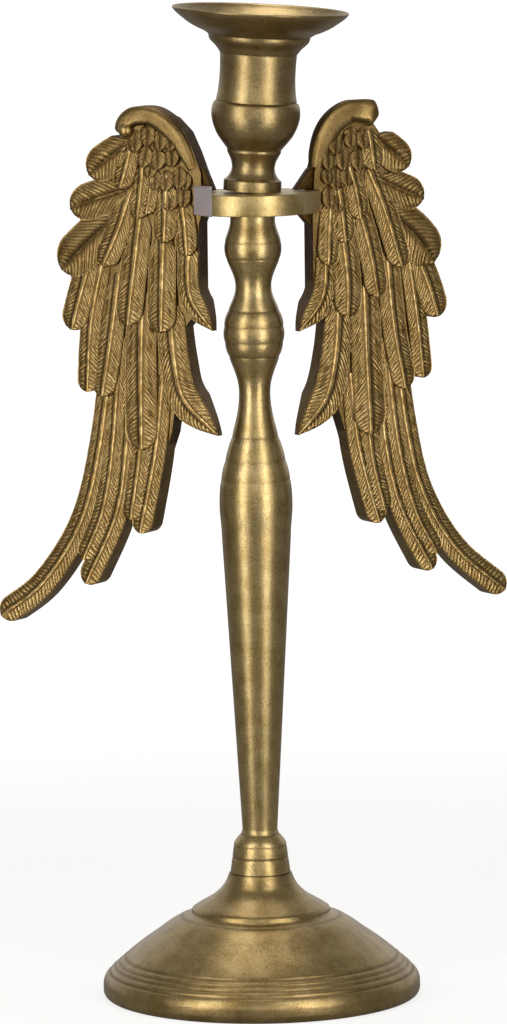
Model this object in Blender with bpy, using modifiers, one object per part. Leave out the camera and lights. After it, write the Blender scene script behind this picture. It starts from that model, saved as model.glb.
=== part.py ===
"""Cast brass candlestick with a pair of angel wings.

A domed foot carries a turned baluster stem. A disc bracket on top of the stem grips a cast
wing at each side, and the candle cup with its drip pan stands on the bracket. A tie rod with
a washer and a nut under the foot pulls the stack together.

Origin: centre of the foot, on the ground. X to the right, Y to the back, Z up.
"""

import math
from dataclasses import dataclass

import bmesh
import bpy
from mathutils import Matrix, Vector

MM = 0.001

# Clearances
SEAT_GAP = 0.3 * MM
BORE_CLEARANCE = 0.3 * MM

# Tie rod, washer and nut
ROD_RADIUS = 3.0 * MM
ROD_BELOW_NUT = 2.0 * MM
ROD_IN_CUP = 11.0 * MM
WASHER_RADIUS = 7.5 * MM
WASHER_THICKNESS = 1.2 * MM
NUT_RADIUS = 5.8 * MM
NUT_HEIGHT = 5.0 * MM
BORE_RADIUS = ROD_RADIUS + BORE_CLEARANCE

# Domed foot
FOOT_HEIGHT = 47.3 * MM
FOOT_RADIUS = 61.0 * MM
FOOT_TOP_RADIUS = 12.0 * MM
FOOT_RIM_HEIGHT = 4.5 * MM
FOOT_RIM_ROUNDING = 2.0 * MM
FOOT_DOME_RISE = 27.2 * MM
FOOT_STEP_RADIUS = 26.3 * MM
FOOT_STEP_HEIGHT = 1.4 * MM
FOOT_WALL = 4.5 * MM
FOOT_SEAT_RADIUS = 9.2 * MM
FOOT_SEAT_THICKNESS = 6.3 * MM
FOOT_NECK_HANDLE = (2.4 * MM, 8.6 * MM)
FOOT_SHOULDER = (36.3 * MM, 26.7 * MM)
FOOT_SKIRT = (55.3 * MM, 12.3 * MM)
FOOT_BULGE = 3.8 * MM
FOOT_SIDES = 40

# Baluster stem, from its foot upwards: each pair is a height and the radius at its top
STEM_FOOT_RADIUS = 11.5 * MM
BELL_HEIGHT, BELL_RADIUS = 10.5 * MM, 10.1 * MM
ANKLE_HEIGHT, ANKLE_RADIUS = 6.3 * MM, 6.7 * MM
SHAFT_HEIGHT, SHAFT_RADIUS = 113.0 * MM, 13.2 * MM
VASE_HEIGHT, VASE_RADIUS = 12.0 * MM, 13.95 * MM
SHOULDER_HEIGHT, WAIST_RADIUS = 43.1 * MM, 5.95 * MM
BALL_LOWER_HEIGHT, BALL_RADIUS = 22.5 * MM, 11.6 * MM
BALL_UPPER_HEIGHT, NECK_RADIUS = 18.0 * MM, 6.8 * MM
BEAD_LOWER_HEIGHT, BEAD_RADIUS = 14.5 * MM, 10.85 * MM
BEAD_UPPER_HEIGHT, STEM_TOP_RADIUS = 11.0 * MM, 8.5 * MM
STEM_COLLAR_HEIGHT = 2.0 * MM
STEM_SIDES = 24

# Disc bracket
BRACKET_RADIUS = 22.2 * MM
BRACKET_THICKNESS = 8.0 * MM
BRACKET_EDGE = 0.5 * MM
BRACKET_SIDES = 48
JAW_WALL = 3.6 * MM

# Candle cup and drip pan, measured along its own axis from the bracket
CUP_LEAN_RIGHT = math.radians(3.3)
CUP_LEAN_FORWARD = math.radians(1.2)
CUP_TRIM = 2.0 * MM
CUP_FOOT_RADIUS = 11.0 * MM
CUP_FOOT_HEIGHT = 4.4 * MM
CUP_NECK_RADIUS = 8.1 * MM
CUP_NECK_HEIGHT = 9.0 * MM
COLLAR_RADIUS = 10.25 * MM
COLLAR_HEIGHT = 14.6 * MM
BULGE_RADIUS = 16.9 * MM
BULGE_HEIGHT = 28.6 * MM
BULGE_STEP = 0.4 * MM
BULGE_SLANT = 1.0 * MM
BULGE_DROP = 7.5 * MM
LIP_RADIUS = 15.3 * MM
LIP_HEIGHT = 34.6 * MM
LIP_TAPER = 4.5 * MM
SOCKET_OUTER_RADIUS = 14.35 * MM
FLARE_START_HEIGHT = 50.8 * MM
FLARE_RADIUS = 19.4 * MM
FLARE_HEIGHT = 58.4 * MM
PAN_RADIUS = 33.6 * MM
PAN_HEIGHT = 69.1 * MM
PAN_WALL = 1.8 * MM
PAN_BRIM = 0.8 * MM
PAN_SWELL = 4.8 * MM
CANDLE_RADIUS = 11.2 * MM
CANDLE_DEPTH = 33.0 * MM
MOUTH_CHAMFER = 1.0 * MM
CUP_SIDES = 28

# Wings: a flat pattern that is swept back and whose lower part curls forward
WING_SWEEP = math.radians(28.0)
WING_FRONT = 2.5 * MM
WING_THICKNESS = 8.0 * MM
WING_PLATE_FRONT = -1.2 * MM
WING_CURL_RADIUS = 595.0 * MM
PATTERN_UNIT = 1.0 * MM
FEATHER_ROOT_LIFT = -0.9 * MM
FEATHER_TIP_LIFT = 0.7 * MM
FEATHER_CROWN = 0.6 * MM
FEATHER_SINK = -3.2 * MM
EDGE_FEATHER_BACK = -7.6 * MM
POINTED_TIP_BACK = -2.4 * MM
SLOT_GAP = 0.3 * MM

# Set screws that hold the wings in the bracket
SCREW_RADIUS = 1.5 * MM
SCREW_HEAD_RADIUS = 2.8 * MM
SCREW_HEAD_HEIGHT = 1.8 * MM
SCREW_OUT = 2.6 * MM

# Heights that follow from the sizes above
STEM_BOTTOM = FOOT_HEIGHT + SEAT_GAP
STEM_LENGTH = (
    BELL_HEIGHT
    + ANKLE_HEIGHT
    + SHAFT_HEIGHT
    + VASE_HEIGHT
    + SHOULDER_HEIGHT
    + BALL_LOWER_HEIGHT
    + BALL_UPPER_HEIGHT
    + BEAD_LOWER_HEIGHT
    + BEAD_UPPER_HEIGHT
    + STEM_COLLAR_HEIGHT
)
BRACKET_BOTTOM = STEM_BOTTOM + STEM_LENGTH + SEAT_GAP
BRACKET_TOP = BRACKET_BOTTOM + BRACKET_THICKNESS
BRACKET_MIDDLE = BRACKET_BOTTOM + BRACKET_THICKNESS / 2
CUP_BOTTOM = BRACKET_TOP + SEAT_GAP


@dataclass(frozen=True)
class Feather:
    """One feather of a wing: its quill from root to tip in pattern millimetres (out, up)."""

    quill: tuple
    half_width: float
    edge: bool = False
    pointed: bool = False
    small: bool = False


@dataclass(frozen=True)
class Side:
    """What differs between the left and the right wing and their seats in the bracket."""

    name: str
    sign: int
    inner: float
    feathers: tuple
    plate: tuple
    roll: tuple
    roll_back: float
    curl: tuple
    lug_above: tuple
    lug_below: tuple
    ear_reach: float
    ear_front: tuple
    ear_rise: float
    ear_drop: float


LEFT_FEATHERS = (
    # flight feathers, the longest one outermost
    Feather(((39, -50), (44.5, -91), (53, -122), (69.5, -146), (90, -161)), 4.9, edge=True),
    Feather(((36, -50), (39, -92), (43.5, -118), (52, -137)), 4.3),
    Feather(((31, -60), (33.5, -95), (38, -120), (51, -146)), 4.6, edge=True),
    Feather(((25.5, -66), (27.5, -97), (31, -121)), 4.6),
    Feather(((17.5, -66), (20.5, -95), (27, -126)), 4.5, edge=True),
    # second row
    Feather(((26, -34), (26.5, -64), (26, -94.5)), 7.0),
    Feather(((14.5, -36), (12, -60), (7.5, -75), (-7.5, -88)), 6.5, edge=True, pointed=True),
    # third row
    Feather(((45.5, -14), (52, -35), (56, -50)), 5.7, edge=True),
    Feather(((42.5, -20), (48, -47), (49.5, -73.5)), 4.5, edge=True),
    Feather(((36, -28), (39.5, -53), (43, -75)), 5.4, edge=True),
    Feather(((26, -2), (29, -26), (31.5, -47.5)), 6.0),
    Feather(((16.5, -10), (16.8, -32), (17, -50)), 6.2),
    Feather(((5.5, -14), (4.8, -35), (-5.5, -48.5)), 4.6, edge=True, pointed=True),
    # the lobes of the outer edge, and the feathers beside them
    Feather(((33, -3), (47, -15), (60, -27)), 8.8, edge=True),
    Feather(((28.5, 5), (43, 1), (55.7, -3.5)), 7.2, edge=True),
    Feather(((29, 22.5), (40, 15.5), (47.3, 9.5)), 7.0, edge=True),
    Feather(((29.5, 24), (31.5, 13.5), (34, 4.5)), 4.6),
    Feather(((29.5, 6), (36, -12), (42, -25)), 5.4),
    Feather(((25, 14), (25.8, 2), (26.5, -6.7)), 4.6),
    Feather(((20, 14), (21, 4), (22.5, -5)), 3.2),
    Feather(((15, 10), (15, -4), (15.2, -15.8)), 5.2),
    Feather(((8.8, 3), (6.6, -9), (5.3, -20.5)), 4.7),
    # small coverts under the leading edge, from the lowest row up
    Feather(((13, 6), (13, 1), (12.8, -3.5)), 4.0, small=True),
    Feather(((7.6, 7), (7.2, 2.5), (6.9, -2)), 3.3, small=True),
    Feather(((19.5, 12), (19.2, 8), (19, 4.5)), 2.9, small=True),
    Feather(((15, 12), (14.7, 8), (14.5, 4)), 3.6, small=True),
    Feather(((9.2, 13.5), (8.8, 9.5), (8.4, 5.2)), 3.2, small=True),
    Feather(((6.4, 11.5), (6.1, 8), (5.9, 4.6)), 2.5, small=True),
    Feather(((20.8, 17), (21.2, 13), (21.5, 9)), 3.2, small=True),
    Feather(((23, 21.5), (23.6, 17), (24.2, 13)), 3.4, small=True),
    Feather(((18.7, 20.5), (18.1, 16), (17.6, 12)), 3.4, small=True),
    Feather(((12.8, 21), (12, 17), (11.4, 13.3)), 3.2, small=True),
    Feather(((28.5, 27), (27.9, 22.5), (27.3, 18.5)), 3.4, small=True),
    Feather(((17.6, 28), (17, 23.5), (16.4, 19.5)), 3.3, small=True),
    Feather(((13.6, 26.5), (12.6, 22.8), (11.8, 19.3)), 2.9, small=True),
    Feather(((22.8, 30), (22.4, 25.5), (22, 21)), 3.3, small=True),
)

RIGHT_FEATHERS = (
    # flight feathers, the longest one outermost
    Feather(((34.5, -50), (39.5, -88), (46, -113), (60, -135), (82.5, -153)), 4.7, edge=True),
    Feather(((31, -52), (35, -91), (41.5, -118), (51, -136)), 4.4),
    Feather(((27.5, -62), (30.3, -95), (36, -118), (49, -142)), 4.4, edge=True),
    Feather(((21.5, -68), (23.7, -97), (28.5, -118.5)), 4.5),
    Feather(((15.5, -66), (18.2, -94), (26, -123)), 4.4, edge=True),
    # second row
    Feather(((22, -33), (22.3, -62), (23, -89.5)), 6.9),
    Feather(((11, -36), (8.8, -58), (3.8, -75), (-8.6, -88)), 6.3, edge=True, pointed=True),
    # third row
    Feather(((41, -14), (48.5, -31.5), (53, -46.5)), 5.7, edge=True),
    Feather(((41, -20), (44.3, -46), (46.2, -69.5)), 4.3, edge=True),
    Feather(((32, -20), (34, -48), (38.3, -73)), 5.2, edge=True),
    Feather(((18, 2), (24, -20), (26.7, -37.5)), 5.0),
    Feather(((12, -8), (14, -29), (13.5, -44.5)), 5.9),
    Feather(((5.7, -14), (3.2, -36), (-7.7, -49)), 4.5, edge=True, pointed=True),
    # the lobes of the outer edge, and the feathers beside them
    Feather(((31, -4.5), (43, -14.5), (51.5, -25.5)), 8.8, edge=True),
    Feather(((27.5, 7.5), (39, 2.2), (47, -1)), 6.6, edge=True),
    Feather(((26.5, 23.5), (35, 16.5), (40.5, 11.5)), 6.6, edge=True),
    Feather(((24.5, 26), (25.2, 18), (25.8, 10.7)), 4.6),
    Feather(((24, 12), (30.5, -4), (37.3, -26.5)), 5.1),
    Feather(((15.5, 14), (18.3, 2.5), (19.5, -7.7)), 4.4),
    Feather(((10.5, 8), (12, -5), (12.7, -16.3)), 4.8),
    Feather(((8.2, 1), (6.4, -12), (5.3, -24.5)), 4.6),
    # small coverts under the leading edge, from the lowest row up
    Feather(((11.3, 5), (10.6, 0.3), (9.8, -4.5)), 3.6, small=True),
    Feather(((7, 6), (6.6, 1.5), (6.3, -3)), 3.0, small=True),
    Feather(((15, 13), (14.5, 9), (14, 5)), 3.1, small=True),
    Feather(((10, 12.5), (9.5, 8.2), (9, 4)), 3.3, small=True),
    Feather(((6.2, 13), (5.9, 9.5), (5.7, 6.2)), 2.5, small=True),
    Feather(((20, 19.5), (19.4, 15), (18.7, 11)), 3.5, small=True),
    Feather(((13.3, 20), (12.7, 15.5), (12, 11.3)), 3.3, small=True),
    Feather(((7.2, 19.5), (6.6, 15.5), (6, 11.5)), 2.8, small=True),
    Feather(((22, 27.5), (21.7, 23), (21.4, 19)), 3.3, small=True),
    Feather(((17, 28), (16.4, 23.7), (15.7, 19.5)), 3.2, small=True),
    Feather(((10.6, 26), (9.8, 21.7), (8.9, 17.4)), 3.3, small=True),
)

# Rolled leading edge from the curl at its outer end to the bracket
LEFT_ROLL = (
    (32.6, 28.2), (30.2, 31.4), (26, 32.4), (20.5, 32), (15, 29), (10, 24.2), (6.2, 18), (3.6, 12.5),
)
RIGHT_ROLL = (
    (24, 32.2), (20.5, 33.6), (15.7, 33.2), (10.3, 30), (6.2, 25), (3.6, 18.5), (2.2, 12.5),
)
ROLL_HALF_WIDTH = 3.7
ROLL_LIFT = 1.3 * MM
LEFT_ROLL_BACK = -7.5 * MM
RIGHT_ROLL_BACK = -4.6 * MM
ROLL_STEPS = 12
LEFT_CURL = (32.0, 26.8, 2.9)
RIGHT_CURL = (23.7, 32.2, 4.2)
LUG_FRONT = -2.5 * MM
LUG_BACK = -6.5 * MM

LEFT_PLATE = (
    (0, 11), (3.2, 19), (6.8, 26.3), (12.3, 31.6), (19.5, 34.6), (27, 34), (32, 28), (38, 19), (45, 9),
    (51, 0), (53, -8), (58, -20), (58, -28), (56, -34), (57, -42), (52, -50), (49, -56),
    (45.5, -74), (43, -80), (45, -95), (51, -112), (56, -124), (50, -134), (40, -120), (27, -118),
    (20, -104), (14, -88), (12, -76), (9.5, -60), (8, -48), (0, -40), (0, -5),
)
RIGHT_PLATE = (
    (1, 11), (3.5, 18.5), (7, 25.5), (12, 31), (18, 33.5), (24, 33), (27, 28), (32, 21), (38, 11),
    (42, 2), (45, -6), (50, -17), (51, -24), (47, -31), (51, -40), (47, -48), (44, -55),
    (42, -70), (40, -76), (41, -90), (46, -106), (51, -120), (50, -130), (38, -120), (24, -114),
    (17, -102), (13, -88), (9, -76), (6.5, -60), (6.5, -48), (0, -40), (0, -5),
)

LEFT = Side(
    name="left",
    sign=-1,
    inner=20.0 * MM,
    feathers=LEFT_FEATHERS,
    plate=LEFT_PLATE,
    roll=LEFT_ROLL,
    roll_back=LEFT_ROLL_BACK,
    curl=LEFT_CURL,
    lug_above=(4.3 * MM, 9.0 * MM),
    lug_below=(1.5 * MM, 2.0 * MM),
    ear_reach=22.2 * MM,
    ear_front=(15.2 * MM, -16.2 * MM),
    ear_rise=2.3 * MM,
    ear_drop=0.4 * MM,
)
RIGHT = Side(
    name="right",
    sign=1,
    inner=23.5 * MM,
    feathers=RIGHT_FEATHERS,
    plate=RIGHT_PLATE,
    roll=RIGHT_ROLL,
    roll_back=RIGHT_ROLL_BACK,
    curl=RIGHT_CURL,
    lug_above=(6.6 * MM, 8.0 * MM),
    lug_below=(5.2 * MM, 5.5 * MM),
    ear_reach=25.4 * MM,
    ear_front=(19.0 * MM, -11.5 * MM),
    ear_rise=0.9 * MM,
    ear_drop=1.6 * MM,
)


def new_collection(name):
    """A collection of the scene."""
    collection = bpy.data.collections.new(name)
    bpy.context.scene.collection.children.link(collection)
    return collection


def finish(obj, colour, roughness):
    """Give a piece its own brass or steel material."""
    material = bpy.data.materials.new(obj.name + " metal")
    material.use_nodes = True
    shader = material.node_tree.nodes["Principled BSDF"]
    shader.inputs["Base Color"].default_value = (*colour, 1.0)
    shader.inputs["Metallic"].default_value = 1.0
    shader.inputs["Roughness"].default_value = roughness
    obj.data.materials.append(material)


def add_mesh(name, mesh, collection):
    """An object for a mesh, in its collection."""
    obj = bpy.data.objects.new(name, mesh)
    collection.objects.link(obj)
    return obj


def mesh_from(name, bm):
    """Turn a bmesh into a mesh with its faces pointing out."""
    bmesh.ops.recalc_face_normals(bm, faces=bm.faces)
    mesh = bpy.data.meshes.new(name)
    bm.to_mesh(mesh)
    bm.free()
    return mesh


def shade_round(mesh):
    """Smooth shading with the corners kept."""
    mesh.shade_smooth()
    mesh.set_sharp_from_angle(angle=math.radians(35.0))


def helper(obj):
    """Keep a cutter or a shape that is joined to another out of the result."""
    obj.hide_render = True
    obj.display_type = "WIRE"
    return obj


def boolean(obj, operation, other):
    """Cut another shape from a piece, or join it on."""
    modifier = obj.modifiers.new(other.name, "BOOLEAN")
    modifier.operation = operation
    modifier.solver = "EXACT"
    if isinstance(other, bpy.types.Collection):
        modifier.operand_type = "COLLECTION"
        modifier.collection = other
    else:
        modifier.object = other


def turned(name, outline, sides, collection):
    """Turn an outline of (radius, height) points about the Z axis."""
    mesh = bpy.data.meshes.new(name)
    closed = outline[0][0] > 0
    count = len(outline)
    edges = [(i, i + 1) for i in range(count - 1)]
    if closed:
        edges.append((count - 1, 0))
    mesh.from_pydata([(radius, 0.0, height) for radius, height in outline], edges, [])
    obj = add_mesh(name, mesh, collection)
    screw = obj.modifiers.new("turn", "SCREW")
    screw.axis = "Z"
    screw.angle = 2 * math.pi
    screw.steps = sides
    screw.render_steps = sides
    screw.use_merge_vertices = True
    screw.merge_threshold = 0.00001
    screw.use_smooth_shade = True
    return obj


def cylinder(name, radius, bottom, top, collection, sides=24):
    """An upright cylinder on the Z axis."""
    bm = bmesh.new()
    bmesh.ops.create_cone(
        bm, cap_ends=True, segments=sides, radius1=radius, radius2=radius, depth=top - bottom
    )
    bmesh.ops.translate(bm, verts=bm.verts, vec=(0, 0, (top + bottom) / 2))
    obj = add_mesh(name, mesh_from(name, bm), collection)
    shade_round(obj.data)
    return obj


def ogee(start, end, steps, late=1.0):
    """Points after start along an S-shaped cut that leaves and arrives upright."""
    points = []
    for step in range(1, steps + 1):
        share = step / steps
        blend = (1 - math.cos(math.pi * share**late)) / 2
        radius = start[0] + (end[0] - start[0]) * blend
        points.append((radius, start[1] + (end[1] - start[1]) * share))
    return points


def bow(start, handle, end, steps):
    """Points after start along a curve that is drawn towards its handle."""
    points = []
    for step in range(1, steps + 1):
        t = step / steps
        points.append(
            tuple(
                (1 - t) ** 2 * a + 2 * t * (1 - t) * b + t**2 * c
                for a, b, c in zip(start, handle, end)
            )
        )
    return points


def make_foot(collection):
    """Domed foot: a cast shell of even wall, hollow up into the neck where the tie rod's nut is."""
    top = (FOOT_TOP_RADIUS, FOOT_HEIGHT)
    handle = (FOOT_TOP_RADIUS + FOOT_NECK_HANDLE[0], FOOT_HEIGHT - FOOT_NECK_HANDLE[1])
    dome_top = (FOOT_STEP_RADIUS + 1.2 * MM, FOOT_RIM_HEIGHT + FOOT_DOME_RISE)
    step_top = (FOOT_STEP_RADIUS, dome_top[1] + FOOT_STEP_HEIGHT)
    dome_handle = (dome_top[0] + 4.0 * MM, dome_top[1] - 0.9 * MM)
    rim = (FOOT_RADIUS, FOOT_RIM_HEIGHT)
    outline = [top]
    outline += bow(top, handle, step_top, 7)
    outline += [(FOOT_STEP_RADIUS, dome_top[1] + 0.2 * MM), dome_top]
    outline += bow(dome_top, dome_handle, FOOT_SHOULDER, 3)
    outline += [FOOT_SKIRT]
    outline += bow(FOOT_SKIRT, (FOOT_RADIUS, FOOT_RIM_HEIGHT + FOOT_BULGE), rim, 4)
    ground = (FOOT_RADIUS - FOOT_RIM_ROUNDING, 0.0)
    outline += bow((FOOT_RADIUS, FOOT_RIM_ROUNDING), (FOOT_RADIUS, 0.0), ground, 3)
    inner_radius = FOOT_RADIUS - FOOT_WALL - FOOT_RIM_ROUNDING
    seat = (FOOT_SEAT_RADIUS, FOOT_HEIGHT - FOOT_SEAT_THICKNESS)
    neck_inside = (FOOT_STEP_RADIUS - 0.4 * FOOT_WALL, dome_top[1] - 0.75 * FOOT_WALL)
    outline += [
        (inner_radius, 0.0),
        (inner_radius, FOOT_RIM_HEIGHT),
        (FOOT_SHOULDER[0] - 0.6 * FOOT_WALL, FOOT_SHOULDER[1] - 0.85 * FOOT_WALL),
        neck_inside,
    ]
    outline += bow(neck_inside, (FOOT_TOP_RADIUS, handle[1] - FOOT_WALL), seat, 4)
    outline += [(BORE_RADIUS, seat[1]), (BORE_RADIUS, FOOT_HEIGHT)]
    foot = turned("foot", outline, FOOT_SIDES, collection)
    finish(foot, (0.36, 0.27, 0.13), 0.38)
    return seat[1]


def make_stem(collection):
    """Turned baluster stem with a bore for the tie rod."""
    stages = (
        (BELL_HEIGHT, BELL_RADIUS, 1, 1.0),
        (ANKLE_HEIGHT, ANKLE_RADIUS, 4, 1.0),
        (SHAFT_HEIGHT, SHAFT_RADIUS, 1, 1.0),
        (VASE_HEIGHT, VASE_RADIUS, 3, 1.0),
        (SHOULDER_HEIGHT, WAIST_RADIUS, 9, 1.12),
        (BALL_LOWER_HEIGHT, BALL_RADIUS, 6, 1.0),
        (BALL_UPPER_HEIGHT, NECK_RADIUS, 6, 1.25),
        (BEAD_LOWER_HEIGHT, BEAD_RADIUS, 5, 1.0),
        (BEAD_UPPER_HEIGHT, STEM_TOP_RADIUS, 5, 1.1),
        (STEM_COLLAR_HEIGHT, STEM_TOP_RADIUS, 1, 1.0),
    )
    outline = [(STEM_FOOT_RADIUS, STEM_BOTTOM)]
    for height, radius, steps, late in stages:
        start = outline[-1]
        outline += ogee(start, (radius, start[1] + height), steps, late)
    outline.reverse()
    outline += [(BORE_RADIUS, STEM_BOTTOM), (BORE_RADIUS, outline[0][1])]
    stem = turned("stem", outline, STEM_SIDES, collection)
    finish(stem, (0.38, 0.29, 0.14), 0.34)


def make_cup(collection, cutters):
    """Candle cup and drip pan in one casting, which leans a little on the bracket."""
    pan_floor = FLARE_HEIGHT + 2 * PAN_WALL
    floor = pan_floor - CANDLE_DEPTH
    mouth = (CANDLE_RADIUS, pan_floor - MOUTH_CHAMFER)
    outline = [(0.0, floor), (CANDLE_RADIUS, floor), mouth]
    outline += [(CANDLE_RADIUS + MOUTH_CHAMFER, pan_floor), (FLARE_RADIUS - 1.0 * MM, pan_floor)]
    brim = (PAN_RADIUS - PAN_WALL / 2, PAN_HEIGHT)
    outline += bow(outline[-1], (PAN_RADIUS - 4.4 * MM, pan_floor + 2.4 * MM), brim, 5)
    lower = (PAN_RADIUS, PAN_HEIGHT - PAN_BRIM)
    under = (FLARE_RADIUS, FLARE_HEIGHT)
    outline += [lower]
    outline += bow(lower, (PAN_RADIUS - 2.7 * MM, FLARE_HEIGHT + PAN_SWELL), under, 5)
    outline += [(SOCKET_OUTER_RADIUS, FLARE_START_HEIGHT)]
    outline += [(SOCKET_OUTER_RADIUS, LIP_HEIGHT + LIP_TAPER), (LIP_RADIUS, LIP_HEIGHT)]
    bulge = (BULGE_RADIUS, BULGE_HEIGHT)
    outline += [(BULGE_RADIUS - BULGE_STEP, LIP_HEIGHT - 1.4 * MM)]
    outline += ogee(outline[-1], bulge, 2)
    collar_top = (COLLAR_RADIUS, COLLAR_HEIGHT + 1.2 * MM)
    outline += bow(bulge, (BULGE_RADIUS - BULGE_SLANT, BULGE_HEIGHT - BULGE_DROP), collar_top, 6)
    collar = (COLLAR_RADIUS, COLLAR_HEIGHT)
    neck = (CUP_NECK_RADIUS, CUP_NECK_HEIGHT)
    outline += [collar]
    outline += ogee(collar, neck, 4)
    foot_top = (CUP_FOOT_RADIUS - 0.3 * MM, CUP_FOOT_HEIGHT)
    outline += ogee(neck, foot_top, 4)
    outline += [(CUP_FOOT_RADIUS, CUP_FOOT_HEIGHT - 0.6 * MM)]
    outline += [(CUP_FOOT_RADIUS, -CUP_TRIM), (0.0, -CUP_TRIM)]
    cup = turned("candle_cup", outline, CUP_SIDES, collection)
    cup.location = (0.0, 0.0, CUP_BOTTOM)
    cup.rotation_euler = (CUP_LEAN_FORWARD, CUP_LEAN_RIGHT, 0.0)
    trim = cylinder("cup_trim", PAN_RADIUS, CUP_BOTTOM - 3 * CUP_TRIM, CUP_BOTTOM, cutters)
    bore_top = CUP_BOTTOM + ROD_IN_CUP + BORE_CLEARANCE
    bore = cylinder("cup_bore", BORE_RADIUS, BRACKET_BOTTOM, bore_top, cutters, 16)
    boolean(cup, "DIFFERENCE", helper(trim))
    boolean(cup, "DIFFERENCE", helper(bore))
    finish(cup, (0.36, 0.27, 0.13), 0.36)


def on_quill(points, share):
    """Place on a smooth curve through the quill's points, from root at 0 to tip at 1."""
    spans = len(points) - 1
    at = min(share * spans, spans - 1e-9)
    i = int(at)
    t = at - i
    first = Vector(points[i])
    second = Vector(points[i + 1])
    before = Vector(points[i - 1]) if i else 2 * first - second
    after = Vector(points[i + 2]) if i + 2 <= spans else 2 * second - first
    return 0.5 * (
        2 * first
        + (second - before) * t
        + (2 * before - 5 * first + 4 * second - after) * t**2
        + (3 * first - before - 3 * second + after) * t**3
    )


def half_width_at(feather, share, length):
    """Half the feather's width: slimmer at its root, and a round or pointed end."""
    tip = min(0.6, (2.6 if feather.pointed else 1.1) * feather.half_width / length)
    if share <= 1 - tip:
        return feather.half_width * (0.78 + 0.22 * math.sin(math.pi / 2 * share / (1 - tip)))
    past = (share - 1 + tip) / tip
    if feather.pointed:
        return feather.half_width * (1 - past**1.5)
    return feather.half_width * math.sqrt(max(0.0, 1 - past**2))


def place(side, out, up, lift):
    """A point of the flat wing pattern in the object: the wing swept back, its end curled forward."""
    curl = min(up, 0.0) ** 2 / (2 * WING_CURL_RADIUS)
    x = side.inner + out * math.cos(WING_SWEEP) + lift * math.sin(WING_SWEEP)
    y = WING_FRONT + out * math.sin(WING_SWEEP) - lift * math.cos(WING_SWEEP) - curl
    return Vector((side.sign * x, y, BRACKET_MIDDLE + up))


def solid_sheet(name, bm, side, back_at, collection):
    """Close a relief sheet down to its back, place it on the wing and keep it as a helper."""
    bmesh.ops.remove_doubles(bm, verts=bm.verts, dist=0.00001)
    front = list(bm.faces)
    extruded = bmesh.ops.extrude_face_region(bm, geom=front)["geom"]
    bmesh.ops.delete(bm, geom=front, context="FACES_ONLY")
    walls = [item for item in extruded if isinstance(item, bmesh.types.BMVert)]
    for vert in bm.verts:
        if vert not in walls:
            vert.co.z = back_at(vert)
    bmesh.ops.contextual_create(bm, geom=[edge for edge in bm.edges if edge.is_boundary])
    for vert in bm.verts:
        vert.co = place(side, *vert.co)
    bmesh.ops.triangulate(bm, faces=bm.faces)
    return helper(add_mesh(name, mesh_from(name, bm), collection))


def relief_sheet(points, width_at, lift_at, along, across):
    """A sheet along a quill, its lift given across and along it."""
    bm = bmesh.new()
    bmesh.ops.create_grid(bm, x_segments=across, y_segments=along, size=0.5)
    for vert in bm.verts:
        side_share = 2 * vert.co.x
        share = vert.co.y + 0.5
        middle = on_quill(points, share)
        ahead = on_quill(points, min(1.0, share + 0.01)) - on_quill(points, max(0.0, share - 0.01))
        ahead.normalize()
        half = width_at(share) * side_share
        spot = middle + Vector((ahead.y, -ahead.x)) * half
        vert.co = (spot.x * PATTERN_UNIT, spot.y * PATTERN_UNIT, lift_at(share, side_share))
    return bm


def spaced(share, tip):
    """Rows closer together towards the rounded tip."""
    return share if tip <= 0 else 1 - (1 - share) ** (1 + tip)


def add_feather(feather, name, side, collection):
    """One feather as a leaf that rises towards its tip and along its quill."""
    length = sum(
        (Vector(b) - Vector(a)).length for a, b in zip(feather.quill, feather.quill[1:])
    )

    def width_at(share):
        return half_width_at(feather, spaced(share, 0.6), length)

    def lift_at(share, across):
        rise = FEATHER_ROOT_LIFT + (FEATHER_TIP_LIFT - FEATHER_ROOT_LIFT) * share
        return rise + FEATHER_CROWN * (1 - abs(across) ** 1.5)

    points = [on_quill(feather.quill, spaced(step / 12, 0.6)) for step in range(13)]
    along = 5 if feather.small else 7
    bm = relief_sheet(points, width_at, lift_at, along, 2)
    tip = points[-1]

    def back_at(vert):
        if not feather.pointed:
            return EDGE_FEATHER_BACK if feather.edge else FEATHER_SINK
        away = (Vector((vert.co.x, vert.co.y)) / PATTERN_UNIT - tip).length
        share = min(1.0, away / (2.6 * feather.half_width))
        return POINTED_TIP_BACK + (EDGE_FEATHER_BACK - POINTED_TIP_BACK) * share

    solid_sheet(name, bm, side, back_at, collection)


def make_wing(side, collection, cutters):
    """Cast wing: a plate, its feathers, the rolled leading edge and the lugs at the bracket."""
    name = "wing_" + side.name
    bm = bmesh.new()
    unit = PATTERN_UNIT
    corners = [bm.verts.new((out * unit, up * unit, WING_PLATE_FRONT)) for out, up in side.plate]
    bm.faces.new(corners)
    for level in range(-120, 0, 20):
        geom = bm.verts[:] + bm.edges[:] + bm.faces[:]
        bmesh.ops.bisect_plane(bm, geom=geom, plane_co=(0, level * unit, 0), plane_no=(0, 1, 0))
    bmesh.ops.triangulate(bm, faces=bm.faces)
    extruded = bmesh.ops.extrude_face_region(bm, geom=bm.faces[:])["geom"]
    for item in extruded:
        if isinstance(item, bmesh.types.BMVert):
            item.co.z = -WING_THICKNESS
    for vert in bm.verts:
        vert.co = place(side, *vert.co)
    wing = add_mesh(name, mesh_from(name, bm), collection)

    parts = bpy.data.collections.new(name + " relief")
    cutters.children.link(parts)
    for index, feather in enumerate(side.feathers):
        add_feather(feather, f"{name}_feather_{index}", side, parts)
    add_roll(side, parts)
    add_curl(side, parts)
    top = BRACKET_THICKNESS / 2 + SEAT_GAP
    add_lug(name + "_lug_above", side, top, side.lug_above, 1, parts)
    add_lug(name + "_lug_below", side, -top, side.lug_below, -1, parts)
    boolean(wing, "UNION", parts)
    shade_round(wing.data)
    finish(wing, (0.37, 0.28, 0.13), 0.42)


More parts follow.
